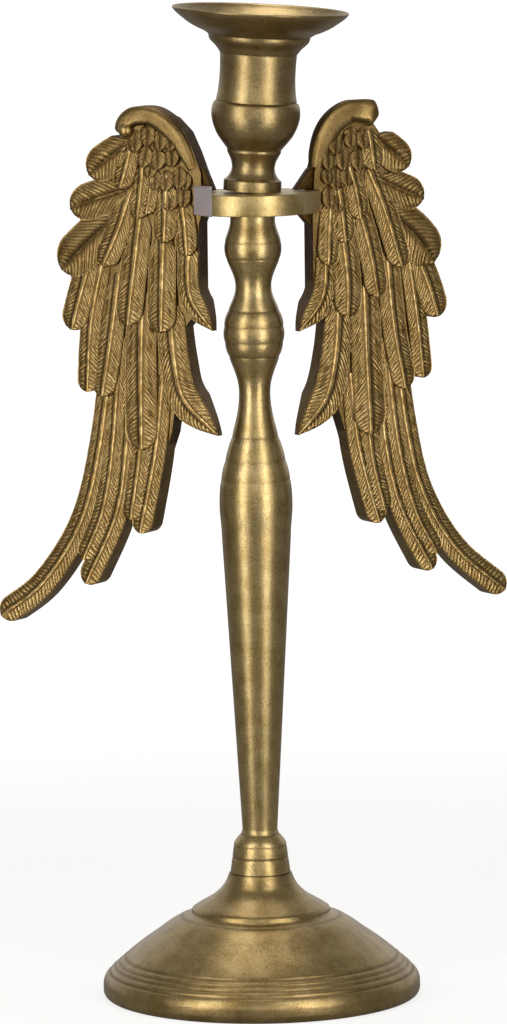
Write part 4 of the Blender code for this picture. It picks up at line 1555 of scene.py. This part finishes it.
    def add_lug(
        self, bm: bmesh.types.BMesh, seat_mm: float, size_mm: tuple[float, float], way: int
    ) -> None:
        """Add a wedge that bears on the bracket.

        Args:
            bm: the wing's mesh.
            seat_mm: height of its bearing face above the bracket's middle.
            size_mm: how far it reaches inwards, and how high it is.
            way: 1 above the bracket, -1 below it.
        """
        cut = self.carving
        reach, rise = size_mm
        lug = bmesh.new()
        bmesh.ops.create_cube(lug, size=1.0)
        for vert in lug.verts:
            far = vert.co.y > 0
            out = cut.lug_root_mm
            if vert.co.x < 0:
                out = -cut.lug_end_mm if far else -reach
            lift = cut.lug_front_mm if vert.co.z > 0 else cut.lug_back_mm
            vert.co = (out * MM, (seat_mm + way * (rise if far else 0.0)) * MM, lift * MM)
        soften(lug, cut.lug_round_mm, 2)
        layer = tone_and_light_layer(lug)
        # The lug is painted dark all over: painted shade.
        for vert in lug.verts:
            vert[layer] = 0.0
            vert.co = self.place(*vert.co)
        self.merge(bm, lug)

    def build(self) -> bpy.types.Object:
        """Make the wing.

        Returns:
            The wing's object.
        """
        bm = bmesh.new()
        tone_and_light_layer(bm)
        self.add_plate(bm)
        for seed, feather in enumerate(self.feathers):
            self.add_feather(bm, feather, seed)
        self.add_roll(bm)
        if self.curl:
            self.add_curl(bm, *self.curl)
        self.add_lug(bm, self.seat_mm, self.lug_above_mm, 1)
        self.add_lug(bm, -self.seat_mm, self.lug_below_mm, -1)
        return loose_object(self.name, bm)


LOBE, POINTED, SCALE = FeatherCut.LOBE, FeatherCut.POINTED, FeatherCut.SCALE
ROUND = FeatherCut.ROUND

LEFT_FEATHERS = (
    # flight feathers, the longest one outermost
    Feather(((39, -50), (44.5, -91), (53, -122), (69.5, -146), (88.4, -159.8)), 4.9, ROUND, True),
    Feather(((36, -50), (39, -92), (43.5, -118), (52, -137)), 4.3),
    Feather(((31, -60), (33.5, -95), (38, -120), (51, -146)), 4.6, ROUND, True),
    Feather(((25.5, -66), (27.5, -97), (31, -121)), 4.6),
    Feather(((17.5, -66), (20.5, -95), (27, -126)), 4.5, ROUND, True),
    # second row
    Feather(((26, -34), (26.5, -64), (26, -94.5)), 7.0),
    Feather(((14.5, -36), (12, -60), (7.5, -75), (-7.5, -88)), 6.5, POINTED, True),
    # third row
    Feather(((45.5, -14), (52, -35), (56, -50)), 5.7, ROUND, True),
    Feather(((42.5, -20), (48, -47), (49.5, -73.5)), 4.5, ROUND, True),
    Feather(((36, -28), (39.5, -53), (43, -75)), 5.4, ROUND, True),
    Feather(((26, -2), (29, -26), (31.5, -47.5)), 6.0),
    Feather(((16.5, -10), (16.8, -32), (17, -50)), 6.2),
    Feather(((5.5, -14), (4.8, -35), (-5.5, -48.5)), 4.6, POINTED, True),
    # lobes of the outer edge, and the feathers beside them
    Feather(((33, -3), (47, -15), (60, -27)), 8.8, LOBE, True),
    Feather(((28.5, 5), (43, 1), (55.7, -3.5)), 7.2, LOBE, True),
    Feather(((29, 22.5), (40, 15.5), (47.3, 9.5)), 7.0, LOBE, True),
    Feather(((29.5, 24), (31.5, 13.5), (34, 4.5)), 4.6),
    Feather(((29.5, 6), (36, -12), (42, -25)), 5.4),
    Feather(((25, 14), (25.8, 2), (26.5, -6.7)), 4.6),
    Feather(((20, 14), (21, 4), (22.5, -5)), 3.2),
    Feather(((15, 10), (15, -4), (15.2, -15.8)), 5.2),
    Feather(((8.8, 3), (6.6, -9), (5.3, -20.5)), 4.7),
    # small coverts under the leading edge, from the lowest row up
    Feather(((13, 6), (13, 1), (12.8, -3.5)), 4.0, SCALE),
    Feather(((7.6, 7), (7.2, 2.5), (6.9, -2)), 3.3, SCALE),
    Feather(((19.5, 12), (19.2, 8), (19, 4.5)), 2.9, SCALE),
    Feather(((15, 12), (14.7, 8), (14.5, 4)), 3.6, SCALE),
    Feather(((9.2, 13.5), (8.8, 9.5), (8.4, 5.2)), 3.2, SCALE),
    Feather(((6.4, 11.5), (6.1, 8), (5.9, 4.6)), 2.5, SCALE),
    Feather(((20.8, 17), (21.2, 13), (21.5, 9)), 3.2, SCALE),
    Feather(((23, 21.5), (23.6, 17), (24.2, 13)), 3.4, SCALE),
    Feather(((18.7, 20.5), (18.1, 16), (17.6, 12)), 3.4, SCALE),
    Feather(((12.8, 21), (12, 17), (11.4, 13.3)), 3.2, SCALE),
    Feather(((28.5, 27), (27.9, 22.5), (27.3, 18.5)), 3.4, SCALE),
    Feather(((17.6, 28), (17, 23.5), (16.4, 19.5)), 3.3, SCALE),
    Feather(((13.6, 26.5), (12.6, 22.8), (11.8, 19.3)), 2.9, SCALE),
    Feather(((22.8, 30), (22.4, 25.5), (22, 21)), 3.3, SCALE),
)

RIGHT_FEATHERS = (
    # flight feathers, the longest one outermost
    Feather(((34.5, -50), (39.5, -88), (46, -113), (60, -135), (80.9, -151.9)), 4.7, ROUND, True),
    Feather(((31, -52), (35, -91), (41.5, -118), (51, -136)), 4.4),
    Feather(((27.5, -62), (30.3, -95), (36, -118), (49, -142)), 4.4, ROUND, True),
    Feather(((21.5, -68), (23.7, -97), (28.5, -118.5)), 4.5),
    Feather(((15.5, -66), (18.2, -94), (26, -123)), 4.4, ROUND, True),
    # second row
    Feather(((22, -33), (22.3, -62), (23, -89.5)), 6.9),
    Feather(((11, -36), (8.8, -58), (3.8, -75), (-8.6, -88)), 6.3, POINTED, True),
    # third row
    Feather(((41, -14), (48.5, -31.5), (53, -46.5)), 5.7, ROUND, True),
    Feather(((41, -20), (44.3, -46), (46.2, -69.5)), 4.3, ROUND, True),
    Feather(((32, -20), (34, -48), (38.3, -73)), 5.2, ROUND, True),
    Feather(((18, 2), (24, -20), (26.7, -37.5)), 5.0),
    Feather(((12, -8), (14, -29), (13.5, -44.5)), 5.9),
    Feather(((5.7, -14), (3.2, -36), (-7.7, -49)), 4.5, POINTED, True),
    # lobes of the outer edge, and the feathers beside them
    Feather(((31, -4.5), (43, -14.5), (51.5, -25.5)), 8.8, LOBE, True),
    Feather(((27.5, 7.5), (39, 2.2), (47, -1)), 6.6, LOBE, True),
    Feather(((26.5, 23.5), (35, 16.5), (40.5, 11.5)), 6.6, LOBE, True),
    Feather(((24.5, 26), (25.2, 18), (25.8, 10.7)), 4.6),
    Feather(((24, 12), (30.5, -4), (37.3, -26.5)), 5.1),
    Feather(((15.5, 14), (18.3, 2.5), (19.5, -7.7)), 4.4),
    Feather(((10.5, 8), (12, -5), (12.7, -16.3)), 4.8),
    Feather(((8.2, 1), (6.4, -12), (5.3, -24.5)), 4.6),
    # small coverts under the leading edge, from the lowest row up
    Feather(((11.3, 5), (10.6, 0.3), (9.8, -4.5)), 3.6, SCALE),
    Feather(((7, 6), (6.6, 1.5), (6.3, -3)), 3.0, SCALE),
    Feather(((15, 13), (14.5, 9), (14, 5)), 3.1, SCALE),
    Feather(((10, 12.5), (9.5, 8.2), (9, 4)), 3.3, SCALE),
    Feather(((6.2, 13), (5.9, 9.5), (5.7, 6.2)), 2.5, SCALE),
    Feather(((20, 19.5), (19.4, 15), (18.7, 11)), 3.5, SCALE),
    Feather(((13.3, 20), (12.7, 15.5), (12, 11.3)), 3.3, SCALE),
    Feather(((7.2, 19.5), (6.6, 15.5), (6, 11.5)), 2.8, SCALE),
    Feather(((22, 27.5), (21.7, 23), (21.4, 19)), 3.3, SCALE),
    Feather(((17, 28), (16.4, 23.7), (15.7, 19.5)), 3.2, SCALE),
    Feather(((10.6, 26), (9.8, 21.7), (8.9, 17.4)), 3.3, SCALE),
)

LEFT_WING = AngelWing(
    name="left_angel_wing",
    node="wing_left",
    sign=-1,
    inner_mm=20.0,
    feathers=LEFT_FEATHERS,
    plate=(
        (0, 11), (3.2, 19), (6.8, 26.3), (12.3, 31.6), (19.5, 34.6), (27, 34), (32, 28), (38, 19),
        (45, 9), (51, 0), (53, -8), (58, -20), (58, -28), (56, -34), (57, -42), (52, -50),
        (49, -56), (45.5, -74), (43, -80), (45, -95), (51, -112), (56, -124), (50, -134),
        (40, -120), (27, -118), (20, -104), (14, -88), (12, -76), (9.5, -60), (8, -48),
        (1.2, -40), (1.2, -8), (0, -5),
    ),
    roll=(
        (33.2, 25.4), (32.4, 29), (29.6, 31.6), (26, 32.4), (20.5, 32), (15, 29), (10, 24.2),
        (6.2, 18), (3.6, 12.5),
    ),
    curl=(31.6, 26.8, 2.9),
    slits=(((28.9, 27.6), (26.0, 28.6), 0.9), ((26.0, 28.6), (22.0, 28.9), 0.6)),
    roll_back_mm=-7.5,
    lug_above_mm=(4.3, 9.0),
    lug_below_mm=(1.5, 2.0),
)

RIGHT_WING = AngelWing(
    name="right_angel_wing",
    node="wing_right",
    sign=1,
    inner_mm=23.5,
    feathers=RIGHT_FEATHERS,
    plate=(
        (1, 11), (3.5, 18.5), (7, 25.5), (12, 31), (18, 33.5), (24, 33), (27, 28), (32, 21),
        (38, 11), (42, 2), (45, -6), (50, -17), (51, -24), (47, -31), (51, -40), (47, -48),
        (44, -55), (42, -70), (40, -76), (41, -90), (46, -106), (51, -120), (50, -130),
        (38, -120), (24, -114), (17, -102), (13, -88), (9, -76), (6.5, -60), (6.5, -48), (0, -40),
        (0, -5),
    ),
    roll=(
        (28.0, 31.9), (24.6, 32.6), (20.5, 33.2), (15.7, 33.0), (10.3, 30), (6.2, 25),
        (3.6, 18.5), (2.2, 12.5),
    ),
    curl=None,
    slits=(
        ((17.6, 30.0), (23.6, 28.7), 0.8), ((20.0, 26.4), (22.3, 25.8), 0.6),
        ((12.3, 25.6), (13.8, 24.6), 0.6),
    ),
    roll_back_mm=-4.6,
    roll_half_mm=4.3,
    roll_lift_mm=0.7,
    roll_end_mm=5.0,
    bulb_mm=0.8,
    lug_above_mm=(6.6, 8.0),
    lug_below_mm=(5.2, 5.5),
)


# Bracket and fasteners


@dataclass(frozen=True)
class EarSize:
    """The ear in front of one wing and the jaw behind it, in millimetres.

    The ear's front runs from front_mm, an x and a y, out to reach_mm. It stands rise_mm above
    the disc and drop_mm below it. The last two numbers say from what distance out a pale
    reflection is painted on its front, and how strong it is.
    """

    wing: AngelWing
    reach_mm: float
    front_mm: tuple[float, float]
    rise_mm: float
    drop_mm: float
    reflection_from_mm: float
    painted_reflection: float


@dataclass(frozen=True)
class WingBracket:
    """Turned disc between stem and cup, slotted at each side for a wing."""

    radius_mm: float = 22.2
    thickness_mm: float = 8.0
    bottom_mm: float = 300.8
    steps: int = 160
    bore_mm: float = ROD_BORE_MM
    edge_mm: float = 0.5
    ear_edge_mm: float = 0.45
    gap_mm: float = GAP_MM
    jaw_mm: float = 3.6
    jaw_y_mm: float = -1.0
    jaw_short_mm: float = 0.5
    jaw_inset_mm: float = 0.3
    jaw_slope_mm: float = 2.0
    root_y_mm: float = -0.3
    # The facet is cut from the ear's front, by a block that reaches past it on all sides.
    facet_y_mm: float = -0.5
    facet_root_mm: float = 15.2
    beyond_mm: tuple[float, float] = (30.0, -24.0)
    clear_mm: float = 8.0
    drill_clear_mm: float = 1.5
    # Ear faces in front of this y get the painted reflection.
    reflection_y_mm: float = -0.4
    largest_facet_m2: float = 3e-4
    screw_out_mm: float = 2.6
    screw_hole_mm: float = 1.8
    head_seat_mm: float = 3.1
    ears: tuple[EarSize, ...] = (
        EarSize(LEFT_WING, 22.2, (15.2, -16.2), 2.3, 0.4, 15.4, 1.0),
        EarSize(RIGHT_WING, 25.4, (19.0, -11.5), 0.3, 0.3, 19.4, 0.1),
    )

    def face_y(self, wing: AngelWing, x_mm: float, lift_mm: float) -> float:
        """Find how far back a level of a wing lies.

        Args:
            wing: the wing.
            x_mm: distance from the stem's axis.
            lift_mm: the level, as a lift in the wing's pattern.

        Returns:
            Its y, in millimetres.
        """
        slope = math.tan(wing.sweep)
        return wing.front_mm + (x_mm - wing.inner_mm) * slope - lift_mm / math.cos(wing.sweep)

    def build(self) -> bpy.types.Object:
        """Make the bracket.

        Returns:
            The bracket's object.
        """
        bottom, top = self.bottom_mm, self.bottom_mm + self.thickness_mm
        bm = upright_cylinder(self.radius_mm, bottom, top, self.steps)
        soften(bm, self.edge_mm, 3, 60.0)
        bracket = loose_object("wing_bracket_disc", bm)
        for ear in self.ears:
            for solid in self.ear_solids(ear, bottom, top):
                apply_boolean(bracket, "UNION", solid)
        for ear in self.ears:
            for tool in self.ear_cutters(ear, bottom, top):
                apply_boolean(bracket, "DIFFERENCE", tool)
        bore = loose_object("bore", upright_cylinder(self.bore_mm, bottom - 1, top + 1))
        apply_boolean(bracket, "DIFFERENCE", bore)
        self.paint_ear_reflections(bracket)
        return bracket

    def paint_ear_reflections(self, bracket: bpy.types.Object) -> None:
        """Mark the front faces of the ears where a pale reflection is painted.

        Args:
            bracket: the finished bracket.
        """
        marks = []
        for face in bracket.data.polygons:
            x, y, _ = face.center / MM
            ear = self.ears[0] if x < 0 else self.ears[1]
            in_front = y < self.reflection_y_mm and abs(x) > ear.reflection_from_mm
            reflecting = in_front and face.area < self.largest_facet_m2
            marks.append(ear.painted_reflection if reflecting else 0.0)
        bracket.data.attributes.new(PAINTED_REFLECTION, "FLOAT", "FACE").data.foreach_set("value", marks)

    def ear_solids(self, ear: EarSize, bottom: float, top: float) -> list[bpy.types.Object]:
        """Make the ear and the jaw at one side, to be joined to the disc.

        Args:
            ear: their sizes.
            bottom: height of the disc's lower face, in millimetres.
            top: height of its upper face.

        Returns:
            The two solids.
        """
        wing = ear.wing
        root = self.radius_mm / 2
        reach = ear.reach_mm
        jaw_reach = reach - self.jaw_short_mm
        jaw_root = root + self.jaw_slope_mm
        jaw_back = wing.carving.plate_back_mm - self.gap_mm - self.jaw_mm
        front = (
            ear.front_mm,
            (reach, self.facet_y_mm),
            (reach, self.face_y(wing, reach, wing.carving.plate_back_mm / 2)),
            (ear.front_mm[0], self.root_y_mm),
        )
        jaw = (
            (root, self.jaw_y_mm),
            (jaw_reach, self.jaw_y_mm),
            (jaw_reach, self.face_y(wing, jaw_reach, jaw_back)),
            (jaw_root, self.face_y(wing, jaw_root, jaw_back)),
        )
        solids = []
        spans = (
            ("ear", front, bottom - ear.drop_mm, top + ear.rise_mm),
            ("jaw", jaw, bottom + self.jaw_inset_mm, top - self.jaw_inset_mm),
        )
        for label, corners, low, high in spans:
            placed = [(wing.sign * x * MM, y * MM) for x, y in corners]
            bm = prism(placed, low * MM, high * MM)
            soften(bm, self.ear_edge_mm, 2)
            solids.append(loose_object(f"{label}_{wing.name}", bm))
        return solids

    def ear_cutters(self, ear: EarSize, bottom: float, top: float) -> list[bpy.types.Object]:
        """Make the cutters of one side.

        Args:
            ear: the sizes of the ear there.
            bottom: height of the disc's lower face, in millimetres.
            top: height of its upper face.

        Returns:
            The wing's slot, the ear's facet, the screw's hole and the seat of its head.
        """
        wing = ear.wing
        front = wing.carving.plate_front_mm + self.gap_mm
        back = wing.carving.plate_back_mm - self.gap_mm
        beyond_x, beyond_y = self.beyond_mm
        facet = (
            ear.front_mm, (ear.reach_mm, self.facet_y_mm), (beyond_x, self.facet_y_mm),
            (beyond_x, beyond_y), (self.facet_root_mm, beyond_y),
        )
        slot = (
            (-self.gap_mm, front), (self.radius_mm, front), (self.radius_mm, back),
            (-self.gap_mm, back),
        )
        corners = [tuple(wing.place(out * MM, 0.0, lift * MM).xy) for out, lift in slot]
        outside = [(wing.sign * x * MM, y * MM) for x, y in facet]
        low, high = bottom - self.clear_mm, top + self.clear_mm
        tools = [
            loose_object(label, prism(outline, low * MM, high * MM))
            for label, outline in (("slot", corners), ("facet", outside))
        ]
        for radius, start, end in (
            (self.screw_hole_mm, -self.drill_clear_mm, self.jaw_mm + self.drill_clear_mm),
            (self.head_seat_mm, self.jaw_mm, 3 * self.jaw_mm),
        ):
            bm = upright_cylinder(radius, start, end)
            bm.transform(screw_frame(wing, self.screw_out_mm, back))
            tools.append(loose_object("drill", bm))
        return tools


def screw_frame(wing: AngelWing, out_mm: float, lift_mm: float) -> Matrix:
    """Lay an upright shape along a screw that enters a wing from behind.

    Args:
        wing: the wing.
        out_mm: how far out the screw is, in the wing's pattern.
        lift_mm: the lift at which the screw starts.

    Returns:
        The matrix that does so.
    """
    spot = wing.place(out_mm * MM, 0.0, lift_mm * MM)
    back = Vector((-wing.sign * math.sin(wing.sweep), math.cos(wing.sweep), 0.0))
    return Matrix.Translation(spot) @ back.to_track_quat("Z", "Y").to_matrix().to_4x4()


@dataclass(frozen=True)
class WingScrew:
    """Pan head set screw with a slot, which presses on a wing from behind."""

    wing: AngelWing
    node: str
    radius_mm: float = 1.5
    head_mm: float = 2.8
    head_height_mm: float = 1.8
    seat_mm: float = 3.9
    slot_mm: float = 0.6
    slot_depth_mm: float = 0.8
    slot_length_mm: float = 8.0
    pitch_mm: float = 0.5
    thread_mm: float = 0.2
    out_mm: float = 2.6
    steps: int = 40

    def build(self) -> bpy.types.Object:
        """Make the screw.

        Returns:
            The screw's object.
        """
        top = self.seat_mm + self.head_height_mm
        outline = in_mm((0.0, 0.0), (1.2, 0.0), (self.radius_mm, 0.3))
        turns = int((self.seat_mm - self.pitch_mm) / self.pitch_mm)
        for turn in range(turns):
            crest = 0.35 + self.pitch_mm * turn
            root = (self.radius_mm - self.thread_mm, crest + self.pitch_mm / 2)
            outline += in_mm((self.radius_mm, crest), root)
        outline += in_mm((self.radius_mm, self.seat_mm), (self.head_mm, self.seat_mm))
        outline += in_mm(
            (self.head_mm, top - 0.9), (self.head_mm - 0.15, top - 0.5),
            (self.head_mm - 0.5, top - 0.15), (self.head_mm - 1.0, top), (0.0, top),
        )
        bm = bmesh.new()
        spin_outline(bm, evenly_toned(outline), self.steps)
        screw = loose_object("set_screw_" + self.wing.name, bm)
        slot = bmesh.new()
        bmesh.ops.create_cube(slot, size=1.0)
        size = (self.slot_length_mm * MM, self.slot_mm * MM, 2 * self.slot_depth_mm * MM)
        bmesh.ops.scale(slot, verts=slot.verts, vec=size)
        bmesh.ops.translate(slot, verts=slot.verts, vec=(0, 0, top * MM))
        apply_boolean(screw, "DIFFERENCE", loose_object("driver slot", slot))
        back = self.wing.carving.plate_back_mm - GAP_MM
        screw.data.transform(screw_frame(self.wing, self.out_mm, back))
        return screw


@dataclass(frozen=True)
class TieRod:
    """Steel rod through the stem, with a washer and a nut inside the foot."""

    radius_mm: float = 3.0
    bottom_mm: float = 32.2
    top_mm: float = 320.1
    thread_mm: float = 1.0
    thread_top_mm: float = 40.8
    washer_mm: tuple[float, float] = (39.5, 40.7)
    washer_radius_mm: float = 7.5
    nut_mm: tuple[float, float] = (34.2, 39.2)
    nut_radius_mm: float = 5.8
    nut_edge_mm: float = 0.35
    bore_mm: float = ROD_BORE_MM
    thread_depth_mm: float = 0.45
    rod_steps: int = 40
    washer_steps: int = 64

    def rod(self) -> bpy.types.Object:
        """Make the rod, with its thread as rings of crests and roots on its lower end.

        Returns:
            The rod's object.
        """
        outline = in_mm((0.0, self.bottom_mm), (2.4, self.bottom_mm), (2.6, self.bottom_mm + 0.3))
        pitches = int((self.thread_top_mm - self.bottom_mm - 0.4) / self.thread_mm)
        for pitch in range(pitches):
            crest = self.bottom_mm + 0.5 + pitch * self.thread_mm
            root = (self.radius_mm - self.thread_depth_mm, crest + self.thread_mm / 2)
            outline += in_mm((self.radius_mm, crest), root)
        outline += in_mm(
            (self.radius_mm, self.thread_top_mm + 0.4), (self.radius_mm, self.top_mm - 0.5),
            (self.radius_mm - 0.5, self.top_mm), (0.0, self.top_mm),
        )
        bm = bmesh.new()
        spin_outline(bm, evenly_toned(outline), self.rod_steps)
        return loose_object("threaded_tie_rod", bm)

    def washer(self) -> bpy.types.Object:
        """Make the washer, which lies against the seat inside the foot's neck.

        Returns:
            The washer's object.
        """
        low, high = self.washer_mm
        inner, outer = self.bore_mm, self.washer_radius_mm
        ring = in_mm(
            (inner, low), (outer - 0.25, low), (outer, low + 0.25), (outer, high - 0.1),
            (outer - 0.1, high), (inner, high), (inner, low),
        )
        bm = bmesh.new()
        spin_outline(bm, evenly_toned(ring), self.washer_steps)
        return loose_object("seat_washer", bm)

    def nut(self) -> bpy.types.Object:
        """Make the hexagon nut, with its edges rounded.

        Returns:
            The nut's object.
        """
        low, high = self.nut_mm
        bm = upright_cylinder(self.nut_radius_mm, low, high, 6)
        soften(bm, self.nut_edge_mm, 2)
        nut = loose_object("hexagon_nut", bm)
        height = high - low
        bore = upright_cylinder(self.bore_mm, low - height, high + height, self.rod_steps)
        apply_boolean(nut, "DIFFERENCE", loose_object("nut bore", bore))
        return nut


# Studio


@dataclass(frozen=True)
class Softbox:
    """A soft area lamp that faces the candlestick's middle.

    Its azimuth is in degrees from the front towards the viewer's right, its lengths are in
    metres, and its radiance is how bright its face is, where 1 is white.
    """

    name: str
    azimuth: float
    distance: float
    height: float
    size: tuple[float, float]
    radiance: float

    def build(self, aim: Vector) -> bpy.types.Object:
        """Hang the lamp.

        Args:
            aim: the point that it faces.

        Returns:
            The lamp.
        """
        lamp = bpy.data.lights.new(self.name, "AREA")
        lamp.shape = "RECTANGLE"
        lamp.size, lamp.size_y = self.size
        lamp.energy = self.radiance * math.pi * self.size[0] * self.size[1]
        obj = bpy.data.objects.new(self.name, lamp)
        turn = math.radians(self.azimuth)
        obj.location = (
            self.distance * math.sin(turn), -self.distance * math.cos(turn), self.height
        )
        obj.visible_camera = False
        obj.rotation_mode = "QUATERNION"
        obj.rotation_quaternion = (aim - obj.location).to_track_quat("-Z", "Y")
        bpy.context.scene.collection.objects.link(obj)
        return obj


@dataclass(frozen=True)
class Studio:
    """White paper, two strip softboxes with fills, and the camera of the photograph."""

    camera_place: tuple[float, float, float] = (-0.001, -2.39, 0.48)
    camera_pitch: float = 7.0
    camera_roll: float = 0.7
    focal_px: float = 6314.0
    frame_px: int = 1024
    sensor_mm: float = 36.0
    aim: tuple[float, float, float] = (0.0, 0.0, 0.22)
    room_light: float = 0.29
    backdrop_light: float = 0.75
    # How far back a direction points, as its y, where the backdrop's light begins and is full.
    backdrop_from: float = 0.25
    backdrop_full: float = 0.85
    paper_m: float = 14.0
    sight_m: float = 60.0
    softboxes: tuple[Softbox, ...] = (
        Softbox("left strip softbox", -43.0, 0.48, 0.3, (0.12, 0.62), 6.6),
        Softbox("right strip softbox", 34.0, 0.48, 0.3, (0.12, 0.62), 6.6),
        Softbox("front fill", 0.0, 3.2, 0.9, (2.2, 1.6), 0.85),
        Softbox("overhead softbox", 190.0, 0.36, 1.7, (0.6, 0.6), 8.0),
    )

    def camera(self) -> None:
        """Set the camera where the photograph was taken from."""
        data = bpy.data.cameras.new("studio camera")
        data.sensor_width = self.sensor_mm
        data.lens = self.focal_px * self.sensor_mm / self.frame_px
        data.clip_end = self.sight_m
        camera = bpy.data.objects.new("studio camera", data)
        turn = Matrix.Rotation(math.radians(90.0 - self.camera_pitch), 4, "X")
        turn @= Matrix.Rotation(math.radians(-self.camera_roll), 4, "Z")
        camera.matrix_world = Matrix.Translation(self.camera_place) @ turn
        bpy.context.scene.collection.objects.link(camera)
        bpy.context.scene.camera = camera

    def floor(self) -> None:
        """Roll out the paper, so far back that the camera sees nothing else."""
        bm = bmesh.new()
        bmesh.ops.create_grid(bm, x_segments=16, y_segments=16, size=self.paper_m)
        paper = loose_object("paper floor", bm)
        paper.data.materials.append(StudioPaper("matt white background paper").material())
        paper.data.shade_smooth()

    def world(self) -> None:
        """Fill the room with a low, even light, and show it white to the camera."""
        world = bpy.data.worlds.new("studio room")
        world.use_nodes = True
        tree = world.node_tree
        tree.nodes.clear()
        seen = add_node(tree, "ShaderNodeLightPath").outputs["Is Camera Ray"]
        # The white backdrop stands behind the candlestick, and its edges mirror it.
        way = add_node(tree, "ShaderNodeTexCoord").outputs["Generated"]
        back = add_node(tree, "ShaderNodeSeparateXYZ", None, {0: way}).outputs["Y"]
        light = add_node(
            tree,
            "ShaderNodeMapRange",
            {"interpolation_type": "SMOOTHSTEP"},
            {
                "Value": back,
                "From Min": self.backdrop_from,
                "From Max": self.backdrop_full,
                "To Min": self.room_light,
                "To Max": self.backdrop_light,
            },
        ).outputs["Result"]
        strength = add_node(
            tree, "ShaderNodeMapRange", None, {"Value": seen, "To Min": light, "To Max": 1.0}
        ).outputs["Result"]
        glow = add_node(
            tree, "ShaderNodeBackground", None, {"Color": (1, 1, 1, 1), "Strength": strength}
        )
        add_node(tree, "ShaderNodeOutputWorld", None, {"Surface": glow.outputs[0]})
        bpy.context.scene.world = world

    def build(self) -> None:
        """Set up the whole studio."""
        bpy.context.scene.view_settings.view_transform = "Standard"
        self.camera()
        self.floor()
        self.world()
        for softbox in self.softboxes:
            softbox.build(Vector(self.aim))


def main() -> None:
    """Build and dress every piece, then the studio."""
    logging.basicConfig(level=logging.INFO, format="%(name)s: %(message)s")
    # The stem was turned and lacquered: fine rings and narrow, soft highlights.
    turned = AgedBrass(
        "lathe turned aged brass", body="#BEA674", stain="#A28A56", lathe_mm=0.9,
        lathe_height_mm=0.008, roughness=0.31, grain_mm=0.36, grain_height_mm=0.055, speckle=1.0,
    ).material()
    # The cup is turned too, but fingers and wax have dulled it: browner and more blurred.
    handled = AgedBrass(
        "turned brass dulled by handling", body="#A38E62", stain="#8C7549", lathe_mm=0.9,
        lathe_height_mm=0.008, roughness=0.34, grain_mm=0.36, grain_height_mm=0.05, speckle=1.0,
    ).material()
    # The foot is a sand casting whose turning marks were polished away: pitted and mottled.
    cast = AgedBrass(
        "sand cast aged brass", body="#AC9464", stain="#927A4A", pit_amount=0.8,
        grain_mm=0.38, grain_height_mm=0.07, roughness=0.29, speckle=1.0,
    ).material()
    # The bracket is rubbed bright all over: pale, with broad highlights.
    bright = AgedBrass(
        "rubbed bright brass", body="#C4AD78", stain="#AC925B", pit_amount=0.2, roughness=0.37
    ).material()
    # The wings were cast from a carving, toned dark and rubbed: dark cuts, pale orange crests.
    carved = AgedBrass(
        "carved and toned brass", body="#A88D5A", stain="#8A7040", pit_amount=0.3,
        crest="#DABE86", grain_height_mm=0.13, speckle=0.8, worn_amount=0.9, lacquer=0.04,
    ).material()
    steel = PlatedSteel("zinc plated steel").material()

    dress(DomedFoot().build(), cast, "foot")
    dress(BalusterStem().build(), turned, "stem")
    dress(CandleCup().build(), handled, "candle_cup")
    dress(WingBracket().build(), bright, "wing_bracket", 20.0)
    for wing in (LEFT_WING, RIGHT_WING):
        dress(wing.build(), carved, wing.node, 70.0)
        screw = WingScrew(wing, wing.node.replace("wing_", "wing_screw_"))
        dress(screw.build(), steel, screw.node)
    rod = TieRod()
    dress(rod.rod(), steel, "tie_rod")
    dress(rod.washer(), steel, "rod_washer")
    dress(rod.nut(), steel, "rod_nut")
    Studio().build()


if __name__ == "__main__":
    main()
